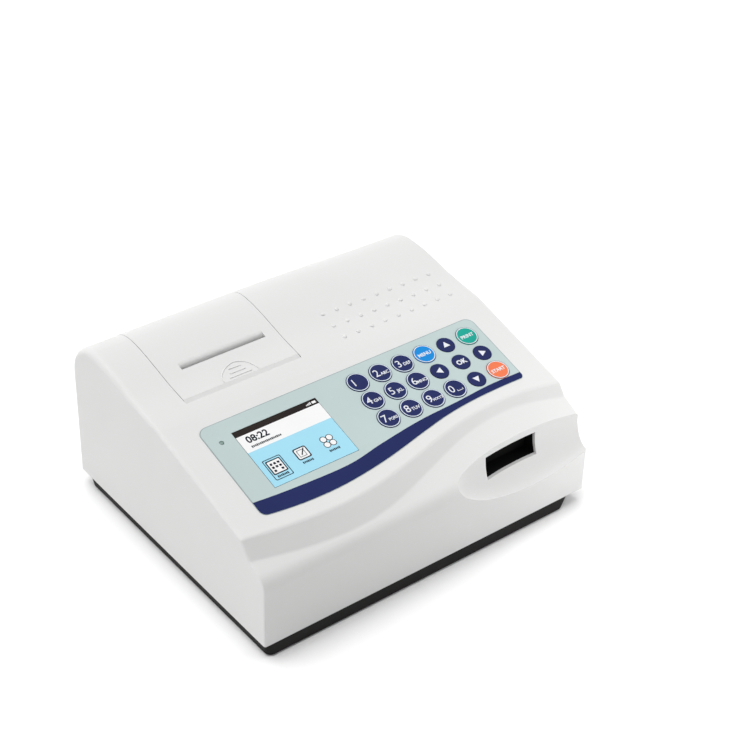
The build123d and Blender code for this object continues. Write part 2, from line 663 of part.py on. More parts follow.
def printer_frame():
    """Two side plates and the cross pieces between them, which carry the roller, the head and the motor."""
    frame = Part()
    for x0 in (46.5, 110.5):
        frame += block(x0, x0 + 3, 136.5, 178, BAY_FLOOR + BAY_T, 103)
    frame += block(46.5, 113.5, 136.5, 172, BAY_FLOOR + BAY_T, BAY_FLOOR + BAY_T + 3)
    frame += block(46.5, 113.5, 140, 143, 93, 96.5)
    for x0 in (46.5, 110.5):
        frame -= rod(x0 - 1, x0 + 4, *PLATEN_AT, SHAFT_R + 0.05)
        frame -= block(x0 - 1, x0 + 4, 136, 150, 97, 104)
    frame -= rod(110, 114, *MOTOR_AT, 4.0)
    frame += rod(112.5, GEAR_X[1] + 1, *IDLER_AT, 1.5)
    save("printer_frame", frame)


def thermal_head():
    """The heated print head in front of the roller, on its metal back plate, with its pressure spring."""
    y = PLATEN_AT[0] - PLATEN_R - PAPER_T
    head = block(51, 109, y - 1.2, y, 88, 102) + block(49.8, 110.2, y - 4, y - 1.2, 84, 102.5)
    save("thermal_head", head)
    spring = block(60, 100, y - 8.5, y - 7.7, 91.5, 97.5) + block(76, 84, 143, y - 8.5, 94.6, 95.6)
    for x in (60, 96):
        for z in (91.5, 96.5):
            spring += block(x, x + 4, y - 8.5, y - 4, z, z + 1)
    save("head_spring", spring)


def platen():
    save("platen_roller", rod(51, 109, *PLATEN_AT, PLATEN_R) - rod(50, 110, *PLATEN_AT, SHAFT_R))
    save("platen_shaft", rod(45, 121, *PLATEN_AT, SHAFT_R))
    save("platen_gear", gear(PLATEN_TEETH, GEAR_MODULE, *GEAR_X, PLATEN_AT, PLATEN_PHASE, SHAFT_R))


def printer_drive():
    save("idler_gear", gear(IDLER_TEETH, GEAR_MODULE, *GEAR_X, IDLER_AT, IDLER_PHASE, 1.55))
    motor = rod(95.5, 110.5, *MOTOR_AT, 9.5) - rod(100, 112, *MOTOR_AT, 1.05)
    motor &= block(90, 120, *[MOTOR_AT[0] + s * 9 for s in (-1, 1)], 60, 110)
    save("printer_motor", motor)
    pinion = gear(PINION_TEETH, GEAR_MODULE, *GEAR_X, MOTOR_AT, MOTOR_PHASE, None)
    save("motor_pinion", pinion + rod(101, GEAR_X[0] + 1, *MOTOR_AT, 1.0))


def paper():
    x0, x1 = PAPER
    save("paper_roll", rod(x0, x1, *ROLL_AT, ROLL_R) - rod(x0 - 1, x1 + 1, *ROLL_AT, SPINDLE_R + 0.05))
    spindle = rod(BAY[0] + 0.2, BAY[1] - 0.2, *ROLL_AT, SPINDLE_R)
    save("roll_spindle", spindle)
    save("paper_web", paper_path())


def paper_path():
    """The paper from the roll's underside, under the platen, up past the head to the cover's slot."""
    gap = 0.15
    big = ROLL_R + gap
    small = PLATEN_R + gap
    dy = PLATEN_AT[0] - ROLL_AT[0]
    dz = PLATEN_AT[1] - ROLL_AT[1]
    span = sqrt(dy**2 + dz**2)
    lean = atan2(dz, dy) + acos((big - small) / span)
    inner = [(ROLL_AT[0] + big * cos(lean), ROLL_AT[1] + big * sin(lean))]
    stop = pi
    start = lean if lean > 0 else lean + 2 * pi
    steps = 8
    for i in range(steps + 1):
        angle = start + (stop - start) * i / steps
        inner.append((PLATEN_AT[0] + small * cos(angle), PLATEN_AT[1] + small * sin(angle)))
    inner.append((PLATEN_AT[0] - small, 103.4))
    outer = []
    for i, (y, z) in enumerate(inner):
        angle = lean if i == 0 else pi if i == len(inner) - 1 else start + (stop - start) * (i - 1) / steps
        outer.append((y + 0.12 * cos(angle), z + 0.12 * sin(angle)))
    return slab(inner + outer[::-1], *PAPER)


# ---- strip tray ----

def tray_guide():
    """The black channel that the tray runs in, on two feet, with a window under the optical head."""
    x0, x1, z0, z1 = SLOT
    t = 2.5
    guide = block(x0 - t, x1 + t, 5, 192, z0 - t, z1 + t)
    guide -= block(x0, x1, 0, 200, z0, z1)
    guide -= scoop(WALL + 0.05)
    guide &= casing_body(WALL + 0.05, PLATE_Z)
    guide -= block(x0 + 4, x1 - 4, *HEAD_Y, z1 - 1, z1 + 5)
    floor = PLATE_Z + PLATE_T
    for y in (36, 112, 178):
        guide += block(x0 - t, x1 + t, y, y + 3, floor, z0 - t)
        guide += block(x0 - t, x1 + t, y - 4, y + 7, floor, floor + 2.5)
    y, z = TRAY_PINION_AT
    guide += block(MOTOR_FACE_X, MOTOR_FACE_X + 2.5, y - 20, y + 20, z - 14, z0 - t + 1)
    guide += block(MOTOR_FACE_X, x0 - t + 1, y - 20, y + 20, z0 - t - 1, z0 - t + 1)
    guide -= rod(MOTOR_FACE_X - 1, MOTOR_FACE_X + 4, y, z, 3.2)
    guide -= block(RACK_X - 5, RACK_X + 5, y - 10.5, y + 10.5, z0 - 5, z0 + 1)
    save("tray_guide", guide)


def strip_tray():
    x0 = (SLOT[0] + SLOT[1] - TRAY_W) / 2
    z0 = SLOT[2] + TRAY_GAP
    y0 = TRAY_FRONT
    tray = block(x0, x0 + TRAY_W, y0, y0 + TRAY_L, z0, z0 + TRAY_H)
    tray -= block(RACK_X - 3.5, RACK_X + 3.5, y0 + 6, y0 + TRAY_L + 1, z0 - 1, z0 + 4.6)
    tray -= block(x0 + 12, x0 + 34, y0 + 8, y0 + 132, z0 + 6.5, z0 + TRAY_H + 1)
    tray -= block(x0 + 2.5, x0 + 9.5, y0 + 8, y0 + 150, z0 + 6.5, z0 + TRAY_H + 1)
    tray -= block(x0 + 36.5, x0 + 43.5, y0 + 8, y0 + 150, z0 + 6.5, z0 + TRAY_H + 1)
    save("strip_tray", tray)
    holder = block(x0 + 12.1, x0 + 33.9, y0 + 8.1, y0 + 131.9, z0 + 6.5, z0 + TRAY_H - 0.3)
    holder -= block(x0 + 20.2, x0 + 25.8, y0 + 14, y0 + 124, z0 + 8.2, z0 + TRAY_H)
    holder -= block(x0 + 18, x0 + 28, y0 + 126, y0 + 131, z0 + 8.7, z0 + TRAY_H)
    save("strip_holder", holder)
    save("reference_pad", block(x0 + 18.1, x0 + 27.9, y0 + 126.1, y0 + 130.9, z0 + 8.7, z0 + 9.6))


def tray_rack():
    """The toothed strip let into the tray's underside, teeth down."""
    pitch = pi * RACK_MODULE
    line = TRAY_PINION_AT[1] + TRAY_PINION_TEETH * RACK_MODULE / 2 + 0.05
    tip = line - 0.8 * RACK_MODULE
    root = line + 1.15 * RACK_MODULE
    back = SLOT[2] + TRAY_GAP + 4.6
    y0 = TRAY_FRONT + 6.5
    y1 = TRAY_FRONT + TRAY_L - 0.5
    first = TRAY_PINION_AT[0] - pitch / 2
    count = int((first - y0) / pitch)
    points = [(y0, back), (y0, root)]
    middle = first - (count - 1) * pitch
    while middle + pitch / 2 < y1:
        points += [(middle - 0.98, root), (middle - 0.3, tip), (middle + 0.3, tip), (middle + 0.98, root)]
        middle += pitch
    points += [(y1, root), (y1, back)]
    save("tray_rack", slab(points, RACK_X - 2.9, RACK_X + 2.9))


def tray_drive():
    y, z = TRAY_PINION_AT
    x1 = MOTOR_FACE_X
    motor = rod(x1 - 17, x1, y, z, 13) - rod(x1 - 13, x1 + 1, y, z, 1.55)
    for dy in (-1, 1):
        motor += block(x1 - 1.2, x1, y + dy * 15.5 - 4, y + dy * 15.5 + 4, z - 4, z + 4)
    save("tray_motor", motor)
    pinion = gear(TRAY_PINION_TEETH, RACK_MODULE, RACK_X - 2.5, RACK_X + 2.5, (y, z), pi / 2, None)
    save("tray_pinion", pinion + rod(x1 - 12, RACK_X + 2.4, y, z, 1.5))


def optical_head():
    """The reader over the tray: a black box with a lens looking down through the guide's window."""
    x0, x1 = SLOT[0], SLOT[1]
    top = SLOT[3] + 2.5
    y0, y1 = HEAD_Y
    lens_x = (x0 + x1) / 2
    lens_y = (y0 + y1) / 2
    head = block(x0 - 2, x1 + 2, y0 - 3, y1 + 3, top, top + 12)
    head += block(x0 + 4.3, x1 - 4.3, y0 + 0.3, y1 - 0.3, SLOT[3], top)
    head -= block(x0 + 8, x1 - 8, y0 + 4, y1 - 4, top + 2, top + 13)
    head -= post(lens_x, lens_y, SLOT[3] - 1, top + 3, 6.05)
    head += block(x0 - 1, x1 + 1, y0 - 2, y1 + 2, top + 10, top + 12.5)
    save("optical_head", head)
    save("head_lens", post(lens_x, lens_y, SLOT[3] + 0.3, SLOT[3] + 2.3, 6.0))


os.makedirs("parts", exist_ok=True)
top_casing()
base_pan()
rubber_feet()
case_screws()
chassis_plate()
main_board()
rear_panel()
power_inlet()
power_switch()
serial_port()
usb_port()
power_supply()
control_overlay()
keys()
keypad_board()
display()
printer_cover()
hinge_pin()
printer_bay()
printer_frame()
thermal_head()
platen()
printer_drive()
paper()
tray_guide()
strip_tray()
tray_rack()
tray_drive()
optical_head()
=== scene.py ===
"""Dresses the desktop urine strip analyzer: finishes, printed film, screen picture, keys, cover and base.

The scene is in metres, and the values below are in mm where they say so. X runs to the right, Y to
the back and Z up, with the origin on the ground under the middle of the casing.
"""

import json
from math import cos, pi, radians, sin

import bmesh
import bpy
from bpy.props import FloatProperty, FloatVectorProperty, IntProperty, PointerProperty
from bpy.types import Operator, Panel, PropertyGroup
from mathutils import Matrix, Vector


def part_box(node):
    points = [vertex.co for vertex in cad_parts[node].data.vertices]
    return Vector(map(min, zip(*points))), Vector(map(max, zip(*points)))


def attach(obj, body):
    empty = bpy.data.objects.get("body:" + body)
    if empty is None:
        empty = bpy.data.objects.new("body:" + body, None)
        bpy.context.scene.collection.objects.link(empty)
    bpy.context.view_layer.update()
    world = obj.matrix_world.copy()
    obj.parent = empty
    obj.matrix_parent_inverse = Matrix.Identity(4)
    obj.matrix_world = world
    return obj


bl_info = {
    "name": "Urine strip analyzer",
    "version": (1, 0, 0),
    "blender": (4, 5, 0),
    "location": "View3D > Sidebar > Analyzer",
    "description": "Dresses a desktop urine strip analyzer with its finishes, film, screen and keys",
    "category": "Add Mesh",
}

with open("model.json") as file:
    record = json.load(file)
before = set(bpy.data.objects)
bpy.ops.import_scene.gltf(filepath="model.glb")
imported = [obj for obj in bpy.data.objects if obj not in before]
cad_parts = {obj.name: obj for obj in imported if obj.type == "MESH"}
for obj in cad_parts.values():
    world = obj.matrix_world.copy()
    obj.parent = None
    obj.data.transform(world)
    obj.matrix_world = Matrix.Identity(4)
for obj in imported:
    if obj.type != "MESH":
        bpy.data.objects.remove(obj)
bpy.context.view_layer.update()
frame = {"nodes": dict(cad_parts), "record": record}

MM = 0.001
DECK_ANGLE = radians(15.3)
DECK_ORIGIN = Vector((0.0, -117.5, 78.9)) * MM  # where the deck's plane meets the casing's front plane
DECK = Matrix(
    (
        (1, 0, 0, DECK_ORIGIN.x),
        (0, cos(DECK_ANGLE), -sin(DECK_ANGLE), DECK_ORIGIN.y),
        (0, sin(DECK_ANGLE), cos(DECK_ANGLE), DECK_ORIGIN.z),
        (0, 0, 0, 1),
    )
)
FILM_TOP = 0.3  # the film's and the screen's face above the deck's plane, in mm
KEY_TOP = 0.8  # the keys' face above the same plane, in mm
INK = 0.03  # how far print stands above what it is printed on, in mm
ROOT = 0.01  # how far print reaches into what it is printed on, in mm
DROP_FROM = 0.2  # the height, in metres, that points are dropped from onto the casing or the cover

# ---- the stage, in metres and degrees ----
FLOOR_REACH = 4.0
FILL_FACING = (-0.1, 0.95, 0.2)  # the fill light is strongest from here and fades out opposite
FILL_FADE = (-0.7, 0.12)  # how far a direction agrees with that one where the fill starts and is full
SOFTBOX_FROM = (-0.22, 0.20, 1.0)
SOFTBOX_SPREAD = 60
SIDE_LAMP_AT = (0.33, -0.30, 0.14)
SIDE_LAMP_FROM = (0.19, -0.18, 0.09)
SIDE_LAMP_WIDTH = 0.2
CAMERA_AT = (-0.62738, -0.81950, 0.83253)
CAMERA_TURN = -39.066
CAMERA_DIP = 35.18
CAMERA_ROLL = 2.006
CAMERA_LENS = 86.0  # in mm, on a sensor 36 mm wide

# ---- the keypad, in mm on the deck: u across from the middle, v up the slope ----
KEY_AT = (6.7, 101.7)  # the middle of the first key
KEY_PITCH = (20.0, 18.37)
KEY_ROWS = [
    ["1", "2", "3", "menu", "up", "print"],
    ["4", "5", "6", "left", "ok", "right"],
    ["7", "8", "9", "0", "down", "start"],
]
KEY_LETTERS = {
    "2": "ABC",
    "3": "DEF",
    "4": "GHI",
    "5": "JKL",
    "6": "MNO",
    "7": "PQRS",
    "8": "TUV",
    "9": "WXYZ",
}
WORD_KEYS = {"menu": "MENU", "print": "PRINT", "start": "START", "ok": "OK"}
ARROW_TURNS = {"up": 0.0, "left": 90.0, "down": 180.0, "right": -90.0}
ARROW = [(0, 3.1), (-2.8, -1.9), (2.8, -1.9)]
RING_OUTSIDE = 8.05  # radius of the pale ring's outer edge
RIM_RADIUS = 8.2  # of the dark line round the ring of a coloured key
RIM_WIDTH = 0.3
# The height of the capitals, the place of their middle and their baseline on the key, and the weight.
DIGIT_PRINT = (6.6, -3.2, -2.5, 0.02)
LETTERS_PRINT = {3: (2.7, 3.0, -2.5, 0.08), 4: (2.3, 3.0, -2.5, 0.08)}  # by how many letters a key has
WORD_PRINT = (3.0, 0.0, -1.5, 0.12)
OK_PRINT = (4.1, 0.0, -2.0, 0.2)
SPACE_MARK = (((0.4, -1.6), (0.4, -2.9)), ((0.2, -2.9), (5.2, -2.9)), ((5.0, -1.6), (5.0, -2.9)))
SPACE_MARK_LINE = 0.45
CAPITALS = 0.73  # the height of the font's capitals, as a share of its size

# ---- the film and the screen, in mm on the deck ----
BAND_TOP = [
    (-119.0, 48.1),
    (-88.5, 45.7),
    (-43.3, 44.5),
    (-11.4, 49.0),
    (24.9, 53.2),
    (60.7, 54.7),
    (91.7, 56.4),
    (122.0, 55.8),
]
BORDER_INSET = 0.12
BORDER_LINE = 0.35
BAND_END = 0.5  # the band's curve stops this far from the film's ends, and runs on level
SCREEN = (-98.2, -29.0, 51.7, 103.8)  # left, right, bottom, top
STATUS_BAR_V = 98.8
CLOCK_BAND_V = 84.1
CLOCK_AT = (-92.9, 91.2)
CLOCK_HEIGHT = 5.8
DATE_AT = (-92.6, 87.6)
MARKS_V = 100.2  # the foot of the marks in the status bar
SIGNAL_BARS = (0.9, 1.3, 1.7, 2.1)
STRIP_SYMBOL_AT = (-86.9, 65.4)
NOTE_SYMBOL_AT = (-65.3, 67.6)
SETTINGS_SYMBOL_AT = (-43.2, 67.9)

# ---- the casing, the cover and the base, in mm in the shared frame ----
BUMPS_AT = (74.6, 33.9)
GRIP_ARCH = [
    (-76.2, 23.5),
    (-75.6, 27.1),
    (-72.8, 31.1),
    (-67.9, 34.7),
    (-61.8, 36.9),
    (-55.8, 36.1),
    (-51.4, 32.9),
    (-48.7, 28.3),
    (-47.2, 23.5),
]
GRIP_BARS = [
    [(-66.6, 32.7), (-56.4, 32.4)],
    [(-68.2, 28.3), (-55.4, 28.3)],
    [(-70.4, 24.7), (-52.8, 24.5)],
]
SLOT_ENDS = (-95.15, -24.95)
# The lip's profile, as y and z.
SLOT_LIP_ROUND = [(53.7, 122.22), (52.7, 121.85), (51.6, 121.2), (50.7, 120.1), (50.0, 118.7), (49.66, 117.0)]
SLOT_LIP_BACK = [(49.8, 116.9), (53.8, 120.9)]  # inside the cover, out of sight
# Below the pan the skirt's black covers the gap at the feet, where there is only contact shadow: painted
# shadow there.
SKIRT_LOW = 1.6  # just above the soles of the feet
SKIRT_TOP = 11.95  # just under the casing's lower rim
SKIRT_CORNER = 5.0
# Each edge of the skirt: left, right, front, back.
SKIRT_LOW_OUTSIDE = (-138.7, 125.0, -116.9, 109.0)
SKIRT_TOP_OUTSIDE = (-139.6, 130.0, -117.1, 112.0)
SKIRT_LOW_INSIDE = (-134.2, 120.5, -112.7, 106.0)
SKIRT_TOP_INSIDE = (-137.6, 128.6, -113.9, 111.0)


# ---- properties ----


def tint(name, description, value):
    return FloatVectorProperty(
        name=name, description=description, default=value, size=3, min=0.0, max=1.0, subtype="COLOR"
    )


def span(name, description, value):
    return FloatProperty(name=name, description=description, default=value, min=0.0, unit="LENGTH")


class AnalyzerColours(PropertyGroup):
    """Colours of the finishes."""

    shell: tint("Casing", "Off-white ABS of the casing and the cover", (0.665, 0.665, 0.66))
    # The skirt shares this black, which below the pan is painted shadow.
    base: tint("Base", "Black ABS of the base pan and its skirt", (0.007, 0.007, 0.0065))
    film: tint("Film", "Pale teal of the panel's film", (0.455, 0.545, 0.54))
    navy: tint("Navy", "Digit keys, arrow keys and the band on the film", (0.011, 0.018, 0.092))
    menu: tint("Menu key", "Blue of the menu key", (0.004, 0.22, 0.60))
    go: tint("Print key", "Green of the print key", (0.007, 0.32, 0.255))
    start: tint("Start key", "Orange of the start key", (0.75, 0.175, 0.075))
    screen: tint("Screen field", "Light blue of the screen's lower field", (0.335, 0.64, 0.78))
    bar: tint("Status bar", "Dark bar along the screen's top", (0.018, 0.013, 0.012))


class AnalyzerSizes(PropertyGroup):
    """Sizes of the pieces that repeat, and the strengths of the lamps."""

    bump_columns: IntProperty(name="Bump columns", description="Bumps across the crown", default=9, min=1)
    bump_rows: IntProperty(name="Bump rows", description="Rows of bumps", default=3, min=1)
    bump_pitch: span("Bump pitch", "From bump to bump across the crown", 12.3 * MM)
    bump_row_pitch: span("Row pitch", "From row to row", 13.2 * MM)
    bump_radius: span("Bump radius", "Radius of one bump at its foot", 1.7 * MM)
    bump_height: span("Bump height", "How far a bump stands above the crown", 0.9 * MM)
    ring_width: span("Key ring", "Width of the pale ring round a key", 0.62 * MM)
    grip_width: span("Grip line", "Thickness of the raised lines on the cover's grip", 0.95 * MM)
    sun: FloatProperty(name="Key light", description="Strength of the large soft lamp", default=2.15, min=0.0)
    sky: FloatProperty(
        name="Fill light",
        description="Strength of the even light from behind and the sides",
        default=0.77,
        min=0.0,
    )
    side: FloatProperty(
        name="Side light", description="Power of the near lamp at the front right", default=0.58, min=0.0
    )


# ---- node helpers ----


def node(tree, kind, inputs=None, **settings):
    """A node with its settings, its values and the links into it."""
    made = tree.nodes.new(kind)
    for key, value in settings.items():
        setattr(made, key, value)
    for key, value in (inputs or {}).items():
        socket = made.inputs[key]
        if isinstance(value, bpy.types.NodeSocket):
            tree.links.new(value, socket)
        else:
            socket.default_value = value
    return made


def rgb(colour, level=1.0):
    return (*(min(c * level, 1.0) for c in colour[:3]), 1.0)


def moulded(
    name,
    colour,
    roughness,
    shade=0.03,
    patch=22.0,
    grain=0.02,
    grain_scale=1600.0,
    spread=0.06,
    specular=0.5,
    metallic=0.0,
    coat=0.0,
    stretch=(1.0, 1.0, 1.0),
):
    """A finish whose colour drifts in soft patches, with a fine grain in its gloss and its surface."""
    material = bpy.data.materials.new(name)
    material.use_nodes = True
    tree = material.node_tree
    tree.nodes.clear()
    place = node(tree, "ShaderNodeTexCoord").outputs["Object"]
    drift = node(
        tree, "ShaderNodeTexNoise", {"Vector": place, "Scale": patch, "Detail": 3.0, "Roughness": 0.5}
    )
    shades = node(tree, "ShaderNodeValToRGB", {"Fac": drift.outputs["Fac"]})
    shades.color_ramp.elements[0].position = 0.3
    shades.color_ramp.elements[0].color = rgb(colour, 1.0 - shade)
    shades.color_ramp.elements[1].position = 0.7
    shades.color_ramp.elements[1].color = rgb(colour, 1.0 + shade)
    laid = node(tree, "ShaderNodeMapping", {"Vector": place, "Scale": stretch})
    fine = node(
        tree, "ShaderNodeTexNoise", {"Vector": laid.outputs["Vector"], "Scale": grain_scale, "Detail": 2.0}
    )
    gloss = node(
        tree,
        "ShaderNodeMapRange",
        {
            "Value": fine.outputs["Fac"],
            "From Min": 0.3,
            "From Max": 0.7,
            "To Min": max(roughness - spread, 0.02),
            "To Max": min(roughness + spread, 1.0),
        },
    )
    bump = node(
        tree, "ShaderNodeBump", {"Height": fine.outputs["Fac"], "Strength": 0.35, "Distance": grain * MM}
    )
    shader = node(
        tree,
        "ShaderNodeBsdfPrincipled",
        {
            "Base Color": shades.outputs["Color"],
            "Roughness": gloss.outputs["Result"],
            "Normal": bump.outputs["Normal"],
            "Metallic": metallic,
            "Specular IOR Level": specular,
            "Coat Weight": coat,
            "Coat Roughness": 0.12,
        },
    )
    node(tree, "ShaderNodeOutputMaterial", {"Surface": shader.outputs["BSDF"]})
    return material


def wound_paper():
    """White paper whose end faces show the edges of its turns."""
    material = moulded("Paper roll", (0.72, 0.72, 0.7), 0.7, grain=0.01, grain_scale=900.0)
    tree = material.node_tree
    low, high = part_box("paper_roll")
    middle = (low + high) / 2
    shader = next(n for n in tree.nodes if n.type == "BSDF_PRINCIPLED")
    place = next(n for n in tree.nodes if n.type == "TEX_COORD").outputs["Object"]
    centred = node(tree, "ShaderNodeMapping", {"Vector": place, "Location": -middle})
    turns = node(
        tree,
        "ShaderNodeTexWave",
        {"Vector": centred.outputs["Vector"], "Scale": 420.0, "Distortion": 0.6, "Detail": 2.0},
        wave_type="RINGS",
        rings_direction="X",
    )
    bump = node(
        tree, "ShaderNodeBump", {"Height": turns.outputs["Fac"], "Strength": 0.5, "Distance": 0.1 * MM}
    )
    tree.links.new(bump.outputs["Normal"], shader.inputs["Normal"])
    return material


def circuit_board():
    """Green solder mask over a maze of slightly raised tracks."""
    material = moulded("Circuit board", (0.012, 0.14, 0.045), 0.35, grain=0.01, coat=0.3)
    tree = material.node_tree
    shader = next(n for n in tree.nodes if n.type == "BSDF_PRINCIPLED")
    place = next(n for n in tree.nodes if n.type == "TEX_COORD").outputs["Object"]
    cells = node(
        tree,
        "ShaderNodeTexVoronoi",
        {"Vector": place, "Scale": 260.0},
        distance="MANHATTAN",
        feature="F1",
    )
    tracks = node(
        tree, "ShaderNodeMapRange", {"Value": cells.outputs["Distance"], "From Min": 0.42, "From Max": 0.5}
    )
    shades = node(tree, "ShaderNodeValToRGB", {"Fac": tracks.outputs["Result"]})
    shades.color_ramp.elements[0].color = rgb((0.012, 0.14, 0.045))
    shades.color_ramp.elements[1].color = rgb((0.03, 0.24, 0.08))
    bump = node(
        tree, "ShaderNodeBump", {"Height": tracks.outputs["Result"], "Strength": 0.4, "Distance": 0.05 * MM}
    )
    tree.links.new(shades.outputs["Color"], shader.inputs["Base Color"])
    tree.links.new(bump.outputs["Normal"], shader.inputs["Normal"])
    return material


FINISHES = {}


def make_finishes(colours):
    """Every finish, by the name of the record's material slot or of the ink."""
    dull = {"specular": 0.2}
    metal = {"metallic": 1.0, "specular": 0.5, "shade": 0.05}
    print_on = {"roughness": 0.4, "grain": 0.006, "specular": 0.1}
    key = {"roughness": 0.35, "grain": 0.01, "specular": 0.14}
    screen = {"roughness": 0.3, "grain": 0.003, "specular": 0.08}
    FINISHES.update(
        shell=moulded(
            "Casing satin", colours.shell, 0.42, shade=0.008, grain=0.03, grain_scale=2400.0, **dull
        ),
        base_black=moulded(
            "Base black", colours.base, 0.5, shade=0.15, grain=0.05, grain_scale=1500.0, specular=0.12
        ),
        inner_black=moulded("Channel black", (0.004, 0.004, 0.004), 0.6, shade=0.2, grain=0.04, specular=0.1),
        inner_grey=moulded("Bay grey", (0.2, 0.2, 0.21), 0.5, shade=0.06, grain=0.05, specular=0.3),
        white_plastic=moulded("Holder white", (0.66, 0.66, 0.64), 0.38, shade=0.02, specular=0.3),
        film=moulded("Film teal", colours.film, 0.34, shade=0.02, grain=0.008, specular=0.14),
        key_navy=moulded("Key navy", colours.navy, shade=0.1, **key),
        key_blue=moulded("Key blue", colours.menu, shade=0.04, **key),
        key_green=moulded("Key green", colours.go, shade=0.05, **key),
        key_orange=moulded("Key orange", colours.start, shade=0.04, **key),
        display=moulded("Screen glass", (0.02, 0.024, 0.028), 0.12, shade=0.2, grain=0.003, specular=0.3),
        lamp=moulded("Lamp lens", (0.16, 0.24, 0.22), 0.12, shade=0.2, patch=900.0, grain=0.01, coat=0.6),
        board_green=circuit_board(),
        steel=moulded("Steel", (0.38, 0.38, 0.39), 0.35, stretch=(1.0, 12.0, 12.0), **metal),
        bright_steel=moulded("Bright steel", (0.58, 0.58, 0.58), 0.2, stretch=(1.0, 8.0, 8.0), **metal),
        aluminium=moulded("Sheet aluminium", (0.6, 0.61, 0.62), 0.38, stretch=(14.0, 1.0, 14.0), **metal),
        rubber=moulded("Rubber", (0.012, 0.012, 0.012), 0.75, shade=0.2, grain=0.08, grain_scale=900.0),
        port_black=moulded("Port black", (0.012, 0.012, 0.013), 0.4, shade=0.15, grain=0.04, specular=0.3),
        paper=moulded("Paper", (0.72, 0.72, 0.7), 0.75, shade=0.015, grain=0.01, grain_scale=900.0, **dull),
        lens=moulded("Lens", (0.03, 0.015, 0.05), 0.05, shade=0.3, grain=0.002, coat=1.0),
        pad=moulded("Reference pad", (0.76, 0.76, 0.75), 0.8, shade=0.02, grain=0.03, grain_scale=700.0),
        roll=wound_paper(),
        band=moulded("Ink navy", colours.navy, shade=0.08, **print_on),
        ring=moulded("Ink pale", (0.62, 0.70, 0.76), shade=0.03, **print_on),
        legend=moulded("Ink white", (0.70, 0.72, 0.76), shade=0.02, **print_on),
        rim=moulded("Ink slate", (0.045, 0.075, 0.13), shade=0.05, **print_on),
        outline=moulded("Ink grey", (0.25, 0.29, 0.30), shade=0.05, **print_on),
        field=moulded("Screen blue", colours.screen, shade=0.015, **screen),
        white_field=moulded("Screen white", (0.8, 0.8, 0.8), shade=0.01, **screen),
        bar=moulded("Screen bar", colours.bar, shade=0.2, **screen),
        mark=moulded("Screen marks", (0.008, 0.012, 0.02), shade=0.15, **screen),
    )


# ---- mesh helpers: outlines are in mm, and a plate lies between two heights ----


def prism(mesh, outline, low, high):
    """A flat plate from a closed outline that runs anticlockwise."""
    bottom = [mesh.verts.new((u, v, low)) for u, v in outline]
    top = [mesh.verts.new((u, v, high)) for u, v in outline]
    mesh.faces.new(top)
    mesh.faces.new(bottom[::-1])
    for i, corner in enumerate(bottom):
        following = (i + 1) % len(bottom)
        mesh.faces.new((corner, bottom[following], top[following], top[i]))


def frame_plate(mesh, outer, inner, low, high):
    """A flat ring between two outlines with as many points each."""
    count = len(outer)
    rings = [[mesh.verts.new((u, v, z)) for u, v in line] for z in (low, high) for line in (outer, inner)]
    outer_low, inner_low, outer_high, inner_high = rings
    for i in range(count):
        j = (i + 1) % count
        mesh.faces.new((outer_high[i], outer_high[j], inner_high[j], inner_high[i]))
        mesh.faces.new((outer_low[j], outer_low[i], inner_low[i], inner_low[j]))
        mesh.faces.new((outer_low[i], outer_low[j], outer_high[j], outer_high[i]))
        mesh.faces.new((inner_low[j], inner_low[i], inner_high[i], inner_high[j]))


def rounded(u0, u1, v0, v1, r, steps=6):
    """The outline of a rectangle with round corners, anticlockwise."""
    corners = ((u1 - r, v0 + r, -90), (u1 - r, v1 - r, 0), (u0 + r, v1 - r, 90), (u0 + r, v0 + r, 180))
    points = []
    for cu, cv, start in corners:
        for i in range(steps + 1):
            angle = radians(start + 90.0 * i / steps)
            points.append((cu + r * cos(angle), cv + r * sin(angle)))
    return points


def plain_box(u0, u1, v0, v1):
    return [(u0, v0), (u1, v0), (u1, v1), (u0, v1)]


def disc(u, v, r, count=40):
    return [(u + r * cos(2 * pi * i / count), v + r * sin(2 * pi * i / count)) for i in range(count)]


def turned(points, angle, at):
    c, s = cos(radians(angle)), sin(radians(angle))
    return [(at[0] + u * c - v * s, at[1] + u * s + v * c) for u, v in points]


def stroke(start, end, width):
    """A straight bar from one point to the other."""
    run = Vector(end) - Vector(start)
    side = Vector((-run.y, run.x)).normalized() * width / 2
    a, b = Vector(start), Vector(end)
    return [tuple(a - side), tuple(b - side), tuple(b + side), tuple(a + side)]


def place_object(name, data, finish, body):
    """A finished mesh as a piece of the model, riding on its body."""
    piece = bpy.data.objects.new(name, data)
    bpy.context.scene.collection.objects.link(piece)
    if finish is not None:
        data.materials.clear()
        data.materials.append(FINISHES[finish])
    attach(piece, body)
    return piece


def deck_piece(name, mesh, finish, body):
    """A mesh laid out in mm on the deck, set in its place in the shared frame."""
    bmesh.ops.scale(mesh, vec=(MM, MM, MM), verts=mesh.verts)
    bmesh.ops.transform(mesh, matrix=DECK, verts=mesh.verts)
    data = bpy.data.meshes.new(name)
    mesh.to_mesh(data)
    mesh.free()
    return place_object(name, data, finish, body)


def closed_piece(name, mesh, finish, body):
    """A closed mesh laid out in mm in the shared frame, with its faces turned outwards."""
    bmesh.ops.scale(mesh, vec=(MM, MM, MM), verts=mesh.verts)
    bmesh.ops.recalc_face_normals(mesh, faces=mesh.faces)
    data = bpy.data.meshes.new(name)
    mesh.to_mesh(data)
    mesh.free()
    return place_object(name, data, finish, body)


